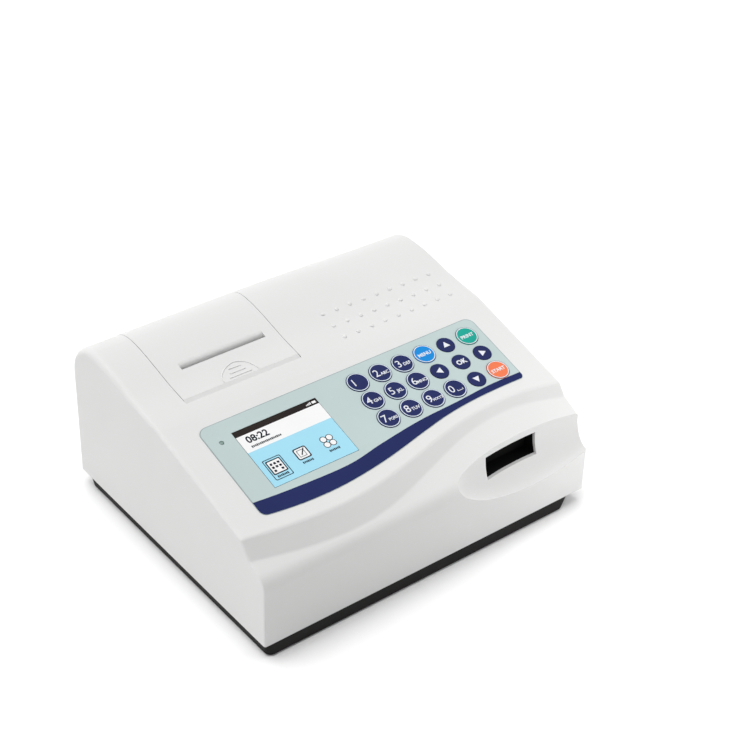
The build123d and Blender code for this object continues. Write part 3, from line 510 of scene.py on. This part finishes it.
def add_lettering(mesh, text, height, at, low, weight=0.0, align="CENTER"):
    """Adds a line of text to a mesh on the deck, by the height of its capitals and its baseline's place."""
    curve = bpy.data.curves.new("lettering", "FONT")
    curve.body = text
    curve.size = height / CAPITALS
    curve.offset = weight
    curve.extrude = INK / 2
    curve.align_x = align
    curve.resolution_u = 4
    holder = bpy.data.objects.new("lettering", curve)
    bpy.context.scene.collection.objects.link(holder)
    seen = holder.evaluated_get(bpy.context.evaluated_depsgraph_get())
    letters = bpy.data.meshes.new_from_object(seen)
    letters.transform(Matrix.Translation((at[0], at[1], low + INK / 2)))
    mesh.from_mesh(letters)
    bpy.data.objects.remove(holder)
    bpy.data.curves.remove(curve)
    bpy.data.meshes.remove(letters)


def catmull(points, steps=10):
    """A smooth line through the points."""

    def between(p, q, r, s, t):
        slope = (r - p) * t
        bend = (2 * p - 5 * q + 4 * r - s) * t**2
        twist = (3 * q - p - 3 * r + s) * t**3
        return 0.5 * (2 * q + slope + bend + twist)

    line = []
    padded = [points[0], *points, points[-1]]
    for four in zip(padded, padded[1:], padded[2:], padded[3:]):
        for i in range(steps):
            line.append(tuple(between(*along, i / steps) for along in zip(*four)))
    line.append(points[-1])
    return line


def height_on(line, u):
    """The height of a left-to-right line at u."""
    for (u0, v0), (u1, v1) in zip(line, line[1:]):
        if u0 <= u <= u1:
            return v0 + (v1 - v0) * (u - u0) / (u1 - u0)
    return line[-1][1] if u > line[-1][0] else line[0][1]


def film_outline():
    """The film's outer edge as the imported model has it, in mm on the deck, anticlockwise."""
    same_point = 0.002 * MM
    level_with_deck = 0.99
    top_from = (FILM_TOP - 0.05) * MM
    film = bmesh.new()
    film.from_mesh(frame["nodes"]["control_overlay"].data)
    bmesh.ops.remove_doubles(film, verts=film.verts, dist=same_point)
    to_deck = DECK.inverted()
    up = Vector((0, -sin(DECK_ANGLE), cos(DECK_ANGLE)))
    top = set()
    for face in film.faces:
        height = (to_deck @ face.calc_center_median()).z
        if face.normal.dot(up) > level_with_deck and height > top_from:
            top.add(face)
    neighbours = {}
    for edge in film.edges:
        if len([face for face in edge.link_faces if face in top]) == 1:
            for a, b in (edge.verts, reversed(edge.verts)):
                neighbours.setdefault(a, []).append(b)
    corner = min(neighbours, key=lambda vert: vert.co.x)
    loop = [corner]
    came, here = None, corner
    while True:
        ahead = [vert for vert in neighbours[here] if vert != came][0]
        if ahead == corner:
            break
        loop.append(ahead)
        came, here = here, ahead
    points = [(to_deck @ vert.co) / MM for vert in loop]
    film.free()
    outline = [(p.x, p.y) for p in points]
    area = sum(a[0] * b[1] - b[0] * a[1] for a, b in zip(outline, outline[1:] + outline[:1]))
    return outline if area > 0 else outline[::-1]


def drawn_in(outline, distance):
    """An anticlockwise outline moved inwards, with no corner moved by over twice the distance."""
    least_cosine = 0.5
    moved = []
    count = len(outline)
    for i in range(count):
        before, here, after = (Vector(outline[k % count]) for k in (i - 1, i, i + 1))
        first = (here - before).normalized()
        second = (after - here).normalized()
        inwards = Vector((-first.y - second.y, first.x + second.x)).normalized()
        cosine = inwards.dot(Vector((-first.y, first.x)))
        moved.append(tuple(here + inwards * distance / max(cosine, least_cosine)))
    return moved


# ---- geometry node trees ----


def node_tree(name, sockets):
    """An empty tree with one geometry result and these named inputs."""
    tree = bpy.data.node_groups.new(name, "GeometryNodeTree")
    tree.is_modifier = True
    tree.interface.new_socket("Geometry", in_out="OUTPUT", socket_type="NodeSocketGeometry")
    for label, kind in sockets.items():
        tree.interface.new_socket(label, in_out="INPUT", socket_type="NodeSocket" + kind)
    return tree, tree.nodes.new("NodeGroupInput").outputs


def close_tree(tree, geometry, material):
    """Ends a tree in real geometry with its material set."""
    real = node(tree, "GeometryNodeRealizeInstances", {"Geometry": geometry}).outputs["Geometry"]
    painted = node(tree, "GeometryNodeSetMaterial", {"Geometry": real, "Material": material})
    sink = tree.nodes.new("NodeGroupOutput")
    tree.links.new(painted.outputs["Geometry"], sink.inputs["Geometry"])


def combined(tree, x, y, z):
    return node(tree, "ShaderNodeCombineXYZ", {"X": x, "Y": y, "Z": z}).outputs["Vector"]


def worked_out(tree, operation, a, b):
    return node(tree, "ShaderNodeMath", {0: a, 1: b}, operation=operation).outputs["Value"]


def straight_down(tree, onto):
    """Where a point lands on an object when it is dropped from above."""
    target = node(tree, "GeometryNodeObjectInfo", {"Object": onto}, transform_space="ORIGINAL")
    return node(
        tree,
        "GeometryNodeRaycast",
        {
            "Target Geometry": target.outputs["Geometry"],
            "Ray Direction": (0.0, 0.0, -1.0),
            "Ray Length": DROP_FROM,
        },
    )


def bump_tree():
    """Rows of domes, dropped onto the casing from above and turned to stand square on it."""
    tree, given = node_tree(
        "Bumps",
        {
            "Casing": "Object",
            "Columns": "Int",
            "Rows": "Int",
            "Pitch": "Float",
            "Row pitch": "Float",
            "Middle": "Vector",
            "Radius": "Float",
            "Height": "Float",
            "Material": "Material",
        },
    )
    width = worked_out(tree, "MULTIPLY", worked_out(tree, "SUBTRACT", given["Columns"], 1.0), given["Pitch"])
    depth = worked_out(tree, "MULTIPLY", worked_out(tree, "SUBTRACT", given["Rows"], 1.0), given["Row pitch"])
    grid = node(
        tree,
        "GeometryNodeMeshGrid",
        {"Size X": width, "Size Y": depth, "Vertices X": given["Columns"], "Vertices Y": given["Rows"]},
    )
    above = node(
        tree, "GeometryNodeSetPosition", {"Geometry": grid.outputs["Mesh"], "Offset": given["Middle"]}
    )
    hit = straight_down(tree, given["Casing"])
    caught = tree.nodes.new("GeometryNodeCaptureAttribute")
    caught.capture_items.new("VECTOR", "Normal")
    tree.links.new(above.outputs["Geometry"], caught.inputs["Geometry"])
    tree.links.new(hit.outputs["Hit Normal"], caught.inputs["Normal"])
    landed = node(
        tree,
        "GeometryNodeSetPosition",
        {"Geometry": caught.outputs["Geometry"], "Position": hit.outputs["Hit Position"]},
    )
    ball = node(tree, "GeometryNodeMeshUVSphere", {"Segments": 24, "Rings": 14, "Radius": 1.0})
    smooth = node(tree, "GeometryNodeSetShadeSmooth", {"Geometry": ball.outputs["Mesh"]})
    upright = node(tree, "FunctionNodeAlignRotationToVector", {"Vector": caught.outputs["Normal"]}, axis="Z")
    domes = node(
        tree,
        "GeometryNodeInstanceOnPoints",
        {
            "Points": landed.outputs["Geometry"],
            "Instance": smooth.outputs["Geometry"],
            "Rotation": upright.outputs["Rotation"],
            "Scale": combined(tree, given["Radius"], given["Radius"], given["Height"]),
        },
    )
    close_tree(tree, domes.outputs["Instances"], given["Material"])
    return tree


def ring_tree():
    """A flat ring of a given width, tilted with the deck and set at its key."""
    tree, given = node_tree(
        "Key ring",
        {
            "Centre": "Vector",
            "Tilt": "Float",
            "Radius": "Float",
            "Width": "Float",
            "Thickness": "Float",
            "Material": "Material",
        },
    )
    circle = node(tree, "GeometryNodeCurvePrimitiveCircle", {"Resolution": 72, "Radius": given["Radius"]})
    level = node(tree, "GeometryNodeSetCurveNormal", {"Curve": circle.outputs["Curve"]}, mode="Z_UP")
    strip = node(
        tree,
        "GeometryNodeCurvePrimitiveQuadrilateral",
        {"Width": given["Width"], "Height": given["Thickness"]},
    )
    ring = node(
        tree,
        "GeometryNodeCurveToMesh",
        {"Curve": level.outputs["Curve"], "Profile Curve": strip.outputs["Curve"]},
    )
    flat = node(
        tree, "GeometryNodeSetShadeSmooth", {"Geometry": ring.outputs["Mesh"], "Shade Smooth": False}
    )
    placed = node(
        tree,
        "GeometryNodeTransform",
        {
            "Geometry": flat.outputs["Geometry"],
            "Translation": given["Centre"],
            "Rotation": combined(tree, given["Tilt"], 0.0, 0.0),
        },
    )
    close_tree(tree, placed.outputs["Geometry"], given["Material"])
    return tree


def raised_line_tree():
    """Round beads laid along drawn lines, dropped onto the cover from above."""
    tree, given = node_tree(
        "Raised lines", {"Lines": "Object", "Cover": "Object", "Thickness": "Float", "Material": "Material"}
    )
    lines = node(tree, "GeometryNodeObjectInfo", {"Object": given["Lines"]}, transform_space="ORIGINAL")
    curve = node(tree, "GeometryNodeMeshToCurve", {"Mesh": lines.outputs["Geometry"]})
    points = node(
        tree,
        "GeometryNodeResampleCurve",
        {"Curve": curve.outputs["Curve"], "Length": 0.4 * MM},
        mode="LENGTH",
    )
    hit = straight_down(tree, given["Cover"])
    landed = node(
        tree,
        "GeometryNodeSetPosition",
        {"Geometry": points.outputs["Curve"], "Position": hit.outputs["Hit Position"]},
    )
    bead = node(
        tree,
        "GeometryNodeCurvePrimitiveCircle",
        {"Resolution": 12, "Radius": worked_out(tree, "MULTIPLY", given["Thickness"], 0.5)},
    )
    beads = node(
        tree,
        "GeometryNodeCurveToMesh",
        {"Curve": landed.outputs["Geometry"], "Profile Curve": bead.outputs["Curve"], "Fill Caps": True},
    )
    smooth = node(tree, "GeometryNodeSetShadeSmooth", {"Geometry": beads.outputs["Mesh"]})
    close_tree(tree, smooth.outputs["Geometry"], given["Material"])
    return tree


def grown(name, tree, values, body):
    """Runs a tree with these inputs and keeps its result as a plain mesh that rides on a body."""
    holder = bpy.data.objects.new(name + "_holder", bpy.data.meshes.new(name + "_holder"))
    bpy.context.scene.collection.objects.link(holder)
    modifier = holder.modifiers.new("Shape", "NODES")
    modifier.node_group = tree
    for item in tree.interface.items_tree:
        if item.in_out == "INPUT":
            modifier[item.identifier] = values[item.name]
    seen = holder.evaluated_get(bpy.context.evaluated_depsgraph_get())
    data = bpy.data.meshes.new_from_object(seen)
    data.name = name
    bpy.data.objects.remove(holder)
    if not data.polygons:
        raise RuntimeError(f"the tree for {name} made no faces")
    return place_object(name, data, None, body)


# ---- operators ----


class ANALYZER_OT_stage(Operator):
    """Sets the floor, the light and the camera."""

    bl_idname = "analyzer.stage"
    bl_label = "Stage"

    def execute(self, context):
        sizes = context.scene.analyzer_sizes
        data = bpy.data.meshes.new("floor")
        corners = [(x * FLOOR_REACH, y * FLOOR_REACH, 0) for x, y in ((-1, -1), (1, -1), (1, 1), (-1, 1))]
        data.from_pydata(corners, [], [(0, 1, 2, 3)])
        floor = bpy.data.objects.new("floor", data)
        context.scene.collection.objects.link(floor)
        data.materials.append(self.floor_finish())
        self.light(context, sizes)
        self.camera(context)
        return {"FINISHED"}

    def floor_finish(self):
        """Matt white paper."""
        material = bpy.data.materials.new("Floor paper")
        material.use_nodes = True
        tree = material.node_tree
        tree.nodes.clear()
        place = node(tree, "ShaderNodeTexCoord").outputs["Object"]
        drift = node(tree, "ShaderNodeTexNoise", {"Vector": place, "Scale": 3.0})
        shades = node(tree, "ShaderNodeValToRGB", {"Fac": drift.outputs["Fac"]})
        shades.color_ramp.elements[0].color = rgb((0.955, 0.955, 0.955))
        shades.color_ramp.elements[1].color = rgb((0.965, 0.965, 0.965))
        paper = node(tree, "ShaderNodeBsdfDiffuse", {"Color": shades.outputs["Color"], "Roughness": 0.4})
        node(tree, "ShaderNodeOutputMaterial", {"Surface": paper.outputs[0]})
        return material

    def light(self, context, sizes):
        world = bpy.data.worlds.new("Studio")
        context.scene.world = world
        world.use_nodes = True
        tree = world.node_tree
        tree.nodes.clear()
        facing = node(tree, "ShaderNodeTexCoord").outputs["Generated"]
        behind = node(tree, "ShaderNodeVectorMath", {0: facing, 1: FILL_FACING}, operation="DOT_PRODUCT")
        level = node(
            tree,
            "ShaderNodeMapRange",
            {
                "Value": behind.outputs["Value"],
                "From Min": FILL_FADE[0],
                "From Max": FILL_FADE[1],
                "To Min": 0.0,
                "To Max": sizes.sky,
            },
        )
        white = (1, 1, 1, 1)
        fill = node(tree, "ShaderNodeBackground", {"Color": white, "Strength": level.outputs["Result"]})
        backdrop = node(tree, "ShaderNodeBackground", {"Color": white, "Strength": 1.0})
        ray = node(tree, "ShaderNodeLightPath")
        seen = worked_out(tree, "MAXIMUM", ray.outputs["Is Camera Ray"], ray.outputs["Is Glossy Ray"])
        seen = worked_out(tree, "MAXIMUM", seen, ray.outputs["Is Transmission Ray"])
        mixed = node(tree, "ShaderNodeMixShader", {0: seen, 1: fill.outputs[0], 2: backdrop.outputs[0]})
        node(tree, "ShaderNodeOutputWorld", {"Surface": mixed.outputs[0]})
        lamp = bpy.data.lights.new("softbox", "SUN")
        lamp.energy = sizes.sun
        lamp.angle = radians(SOFTBOX_SPREAD)
        self.hang(context, lamp, SOFTBOX_FROM)
        near = bpy.data.lights.new("side_lamp", "AREA")
        near.energy = sizes.side
        near.size = SIDE_LAMP_WIDTH
        side_lamp = self.hang(context, near, SIDE_LAMP_FROM)
        side_lamp.location = SIDE_LAMP_AT
        side_lamp.visible_camera = False
        side_lamp.visible_glossy = False
        context.scene.view_settings.view_transform = "Standard"

    def hang(self, context, lamp, shines_from):
        """A lamp in the scene, turned so that its light comes from that direction."""
        hung = bpy.data.objects.new(lamp.name, lamp)
        hung.rotation_mode = "QUATERNION"
        hung.rotation_quaternion = Vector(shines_from).to_track_quat("Z", "Y")
        context.scene.collection.objects.link(hung)
        return hung

    def camera(self, context):
        lens = bpy.data.cameras.new("camera")
        lens.lens = CAMERA_LENS
        lens.sensor_width = 36.0
        camera = bpy.data.objects.new("camera", lens)
        turn = Matrix.Rotation(radians(CAMERA_TURN), 4, "Z")
        tip = Matrix.Rotation(radians(90 - CAMERA_DIP), 4, "X")
        roll = Matrix.Rotation(radians(CAMERA_ROLL), 4, "Z")
        camera.matrix_world = Matrix.Translation(CAMERA_AT) @ turn @ tip @ roll
        context.scene.collection.objects.link(camera)
        context.scene.camera = camera


class ANALYZER_OT_finishes(Operator):
    """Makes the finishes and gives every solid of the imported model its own."""

    bl_idname = "analyzer.finishes"
    bl_label = "Finishes"

    def execute(self, context):
        make_finishes(context.scene.analyzer_colours)
        special = {"paper_roll": "roll"}
        for row in frame["record"]["subparts"]:
            solid = frame["nodes"][row["node"]]
            finish = special.get(row["node"], row["material_slot"])
            solid.data.materials.clear()
            solid.data.materials.append(FINISHES[finish])
        return {"FINISHED"}


class ANALYZER_OT_bumps(Operator):
    """Sets the rows of small domes on the casing's crown."""

    bl_idname = "analyzer.bumps"
    bl_label = "Crown bumps"

    def execute(self, context):
        sizes = context.scene.analyzer_sizes
        values = {
            "Casing": frame["nodes"]["top_casing"],
            "Columns": sizes.bump_columns,
            "Rows": sizes.bump_rows,
            "Pitch": sizes.bump_pitch,
            "Row pitch": sizes.bump_row_pitch,
            "Middle": (BUMPS_AT[0] * MM, BUMPS_AT[1] * MM, DROP_FROM),
            "Radius": sizes.bump_radius,
            "Height": sizes.bump_height,
            "Material": FINISHES["shell"],
        }
        grown("crown_bumps", bump_tree(), values, "casing")
        return {"FINISHED"}


class ANALYZER_OT_film(Operator):
    """Prints the navy band and the fine border on the panel's film."""

    bl_idname = "analyzer.film"
    bl_label = "Film print"

    def execute(self, context):
        outline = drawn_in(film_outline(), BORDER_INSET)
        border = bmesh.new()
        frame_plate(border, outline, drawn_in(outline, BORDER_LINE), FILM_TOP - 2 * ROOT, FILM_TOP + INK / 2)
        deck_piece("film_border", border, "outline", "casing")
        top = catmull(BAND_TOP)
        below = [i for i, (u, v) in enumerate(outline) if v < height_on(top, u)]
        start = next(i for i in below if (i - 1) % len(outline) not in below)
        lower = [outline[(start + k) % len(outline)] for k in range(len(below))]
        left, right = lower[0][0], lower[-1][0]
        upper = [(right, height_on(top, right))]
        upper += [(u, v) for u, v in reversed(top) if left + BAND_END < u < right - BAND_END]
        upper.append((left, height_on(top, left)))
        band = bmesh.new()
        prism(band, lower + upper, FILM_TOP - 2 * ROOT, FILM_TOP + INK)
        deck_piece("film_band", band, "band", "casing")
        return {"FINISHED"}


class ANALYZER_OT_screen(Operator):
    """Lays out the screen's picture: the status bar, the clock, the field and its symbols."""

    bl_idname = "analyzer.screen"
    bl_label = "Screen picture"

    def execute(self, context):
        u0, u1, v0, v1 = SCREEN
        face = FILM_TOP
        for name, finish, low, high in (
            ("screen_field", "field", v0, CLOCK_BAND_V),
            ("screen_band", "white_field", CLOCK_BAND_V, STATUS_BAR_V),
            ("screen_bar", "bar", STATUS_BAR_V, v1),
        ):
            part = bmesh.new()
            prism(part, plain_box(u0, u1, low, high), face - 2 * ROOT, face + INK)
            deck_piece(name, part, finish, "casing")
        self.dark = bmesh.new()
        self.pale = bmesh.new()
        self.dark_at = face + INK
        self.pale_at = face + 2 * INK
        add_lettering(self.dark, "08:22", CLOCK_HEIGHT, CLOCK_AT, self.dark_at, weight=0.2, align="LEFT")
        self.caption(*DATE_AT, count=18, pitch=1.35)
        self.status_marks(u1)
        self.strip_symbol(*STRIP_SYMBOL_AT)
        self.note_symbol(*NOTE_SYMBOL_AT)
        self.settings_symbol(*SETTINGS_SYMBOL_AT)
        deck_piece("screen_marks_dark", self.dark, "mark", "casing")
        deck_piece("screen_marks_pale", self.pale, "white_field", "casing")
        return {"FINISHED"}

    def dark_plate(self, outline):
        prism(self.dark, outline, self.dark_at - ROOT, self.dark_at + INK)

    def pale_plate(self, outline):
        prism(self.pale, outline, self.pale_at - ROOT, self.pale_at + INK)

    def border(self, u, v, half, bottom, top, radius, line, inner_radius, low):
        """A dark rounded frame round a point, which gives back the outline inside it."""
        outer = rounded(u - half, u + half, v + bottom, v + top, radius)
        inner = rounded(u - half + line, u + half - line, v + bottom + line, v + top - line, inner_radius)
        frame_plate(self.dark, outer, inner, low - ROOT, low + INK)
        return inner

    def caption(self, left, middle, count, pitch):
        """A row of small bars in place of words, every third one taller."""
        width = 0.72 * pitch
        for i in range(count):
            tall = 0.75 if i % 3 else 0.95
            at = left + i * pitch
            self.dark_plate(plain_box(at, at + width, middle - tall, middle + tall))

    def status_marks(self, right):
        """Four bars of signal and a battery at the right end of the status bar."""
        first, pitch, width = right - 9.6, 1.1, 0.75
        for i, tall in enumerate(SIGNAL_BARS):
            at = first + i * pitch
            self.pale_plate(plain_box(at, at + width, MARKS_V, MARKS_V + tall))
        battery = rounded(right - 4.6, right - 1.4, MARKS_V, MARKS_V + 2.0, 0.3)
        self.pale_plate(battery)

    def strip_symbol(self, u, v):
        """A chosen symbol: a double frame round a sheet with a grid of test pads."""
        at = self.dark_at
        self.border(u, v, half=7.2, bottom=-9.6, top=8.6, radius=1.2, line=0.6, inner_radius=0.9, low=at)
        sheet = self.border(
            u, v, half=5.8, bottom=-5.2, top=7.0, radius=1.0, line=0.9, inner_radius=0.7, low=at
        )
        self.pale_plate(sheet)
        low = self.pale_at + INK
        pitch, half = 2.9, 0.9
        for row in range(3):
            for column in range(3):
                if (row, column) == (0, 1):
                    continue
                cu = u + pitch * (column - 1)
                cv = v - 2.3 + pitch * row
                pad = rounded(cu - half, cu + half, cv - half, cv + half, 0.2)
                prism(self.dark, pad, low - ROOT, low + INK)
        self.caption(u - 4.4, v - 7.1, count=7, pitch=1.3)

    def note_symbol(self, u, v):
        """A notepad with a pen across it."""
        at = self.dark_at
        pad = self.border(
            u, v, half=5.3, bottom=-5.1, top=5.1, radius=1.5, line=0.9, inner_radius=1.1, low=at
        )
        self.pale_plate(pad)
        low = self.pale_at + INK
        self.border(
            u - 0.25, v, half=2.85, bottom=-3.0, top=3.0, radius=0.3, line=0.4, inner_radius=0.2, low=low
        )
        pen = stroke((u - 0.9, v - 1.5), (u + 3.2, v + 3.6), width=0.8)
        prism(self.dark, pen, low + INK, low + 2 * INK)
        self.caption(u - 4.2, v - 7.6, count=7, pitch=1.25)

    def settings_symbol(self, u, v):
        """Four discs in a square."""
        spread, outside, inside = 2.45, 2.65, 2.1
        for du in (-spread, spread):
            for dv in (-spread, spread):
                face = disc(u + du, v + dv, inside)
                edge = disc(u + du, v + dv, outside)
                frame_plate(self.dark, edge, face, self.dark_at - ROOT, self.dark_at + INK)
                self.pale_plate(face)
        self.caption(u - 4.2, v - 7.9, count=7, pitch=1.25)


class ANALYZER_OT_keys(Operator):
    """Prints the ring, the digit, the letters or the arrow on each key."""

    bl_idname = "analyzer.keys"
    bl_label = "Key print"

    def execute(self, context):
        sizes = context.scene.analyzer_sizes
        tree = ring_tree()
        for row, names in enumerate(KEY_ROWS):
            for column, name in enumerate(names):
                at = (KEY_AT[0] + column * KEY_PITCH[0], KEY_AT[1] - row * KEY_PITCH[1])
                if name not in ARROW_TURNS and name != "ok":
                    self.ring(tree, name, at, sizes)
                self.legend(name, at)
        return {"FINISHED"}

    def ring(self, tree, name, at, sizes):
        """The pale ring just inside a key's edge, and on a coloured key the dark line round that."""
        worded = name in WORD_KEYS
        width = sizes.ring_width
        radius = RING_OUTSIDE * MM - width / 2
        self.one_ring(tree, f"ring_{name}", name, at, radius, width, "legend" if worded else "ring")
        if worded:
            self.one_ring(tree, f"rim_{name}", name, at, RIM_RADIUS * MM, RIM_WIDTH * MM, "rim")

    def one_ring(self, tree, title, name, at, radius, width, finish):
        values = {
            "Centre": DECK @ (Vector((at[0], at[1], KEY_TOP + INK / 2 - ROOT)) * MM),
            "Tilt": DECK_ANGLE,
            "Radius": radius,
            "Width": width,
            "Thickness": (INK + 2 * ROOT) * MM,
            "Material": FINISHES[finish],
        }
        grown(title, tree, values, f"button_{name}")

    def legend(self, name, at):
        """The arrow, the word or the digit with its letters on one key."""
        mesh = bmesh.new()
        if name in ARROW_TURNS:
            prism(mesh, turned(ARROW, ARROW_TURNS[name], at), KEY_TOP - ROOT, KEY_TOP + INK)
        elif name in WORD_KEYS:
            self.words(mesh, WORD_KEYS[name], at, OK_PRINT if name == "ok" else WORD_PRINT)
        else:
            self.words(mesh, name, at, DIGIT_PRINT)
        if name in KEY_LETTERS:
            letters = KEY_LETTERS[name]
            self.words(mesh, letters, at, LETTERS_PRINT[len(letters)])
        if name == "0":
            for start, end in SPACE_MARK:
                line = turned(stroke(start, end, SPACE_MARK_LINE), 0.0, at)
                prism(mesh, line, KEY_TOP - ROOT, KEY_TOP + INK)
        deck_piece(f"legend_{name}", mesh, "legend", f"button_{name}")

    def words(self, mesh, text, at, style):
        height, across, up, weight = style
        add_lettering(mesh, text, height, (at[0] + across, at[1] + up), KEY_TOP, weight=weight)


class ANALYZER_OT_cover_grip(Operator):
    """Raises the grip's arch and its three lines on the printer's cover."""

    bl_idname = "analyzer.cover_grip"
    bl_label = "Cover grip"

    def execute(self, context):
        data = bpy.data.meshes.new("grip_lines")
        points, edges = [], []
        for line in (catmull(GRIP_ARCH), *GRIP_BARS):
            first = len(points)
            points += [(x * MM, y * MM, DROP_FROM) for x, y in line]
            edges += [(first + i, first + i + 1) for i in range(len(line) - 1)]
        data.from_pydata(points, edges, [])
        drawing = bpy.data.objects.new("grip_lines", data)
        context.scene.collection.objects.link(drawing)
        values = {
            "Lines": drawing,
            "Cover": frame["nodes"]["printer_cover"],
            "Thickness": context.scene.analyzer_sizes.grip_width,
            "Material": FINISHES["shell"],
        }
        grown("cover_grip", raised_line_tree(), values, "cover")
        bpy.data.objects.remove(drawing)
        return {"FINISHED"}


class ANALYZER_OT_slot_lip(Operator):
    """Rounds the rear lip of the paper slot in the printer's cover."""

    bl_idname = "analyzer.slot_lip"
    bl_label = "Slot lip"

    def execute(self, context):
        profile = SLOT_LIP_ROUND + SLOT_LIP_BACK
        mesh = bmesh.new()
        left, right = ([mesh.verts.new((x, y, z)) for y, z in profile] for x in SLOT_ENDS)
        for cap in (mesh.faces.new(left), mesh.faces.new(right[::-1])):
            for edge in cap.edges:
                edge.smooth = False
        for i in range(len(profile)):
            j = (i + 1) % len(profile)
            face = mesh.faces.new((left[j], left[i], right[i], right[j]))
            face.smooth = i < len(SLOT_LIP_ROUND) - 1
        closed_piece("slot_lip", mesh, "shell", "cover")
        return {"FINISHED"}


class ANALYZER_OT_base_skirt(Operator):
    """Lays the base's thin outer skirt round the pan, from the casing's rim almost to the ground. Its black
    is the base's own colour, and below the pan, over the gap at the feet, it is painted shadow in place of
    the contact shadow under the base.
    """

    bl_idname = "analyzer.base_skirt"
    bl_label = "Base skirt"

    def execute(self, context):
        mesh = bmesh.new()
        around = [
            self.edge(mesh, SKIRT_LOW_OUTSIDE, SKIRT_LOW),
            self.edge(mesh, SKIRT_TOP_OUTSIDE, SKIRT_TOP),
            self.edge(mesh, SKIRT_TOP_INSIDE, SKIRT_TOP),
            self.edge(mesh, SKIRT_LOW_INSIDE, SKIRT_LOW),
        ]
        for a, b in zip(around, around[1:] + around[:1]):
            for i in range(len(a)):
                j = (i + 1) % len(a)
                mesh.faces.new((a[i], a[j], b[j], b[i]))
        # The black skirt is the base's own colour above and painted shadow over the gap at the feet.
        closed_piece("base_skirt", mesh, "base_black", "casing")
        return {"FINISHED"}

    def edge(self, mesh, limits, height):
        return [mesh.verts.new((x, y, height)) for x, y in rounded(*limits, SKIRT_CORNER)]


class ANALYZER_PT_panel(Panel):
    """Lists the steps and the values that they use."""

    bl_label = "Urine strip analyzer"
    bl_idname = "ANALYZER_PT_panel"
    bl_space_type = "VIEW_3D"
    bl_region_type = "UI"
    bl_category = "Analyzer"

    def draw(self, context):
        layout = self.layout
        for step in STEPS:
            layout.operator(step.bl_idname)
        for group in (context.scene.analyzer_colours, context.scene.analyzer_sizes):
            box = layout.box()
            for name in group.__annotations__:
                box.prop(group, name)


STEPS = (
    ANALYZER_OT_stage,
    ANALYZER_OT_finishes,
    ANALYZER_OT_bumps,
    ANALYZER_OT_film,
    ANALYZER_OT_screen,
    ANALYZER_OT_keys,
    ANALYZER_OT_cover_grip,
    ANALYZER_OT_slot_lip,
    ANALYZER_OT_base_skirt,
)
CLASSES = (AnalyzerColours, AnalyzerSizes, *STEPS, ANALYZER_PT_panel)


def register():
    for each in CLASSES:
        bpy.utils.register_class(each)
    bpy.types.Scene.analyzer_colours = PointerProperty(type=AnalyzerColours)
    bpy.types.Scene.analyzer_sizes = PointerProperty(type=AnalyzerSizes)


def unregister():
    del bpy.types.Scene.analyzer_sizes
    del bpy.types.Scene.analyzer_colours
    for each in reversed(CLASSES):
        bpy.utils.unregister_class(each)


def main():
    register()
    for step in STEPS:
        group, name = step.bl_idname.split(".")
        getattr(getattr(bpy.ops, group), name)()


if __name__ == "__main__":
    main()
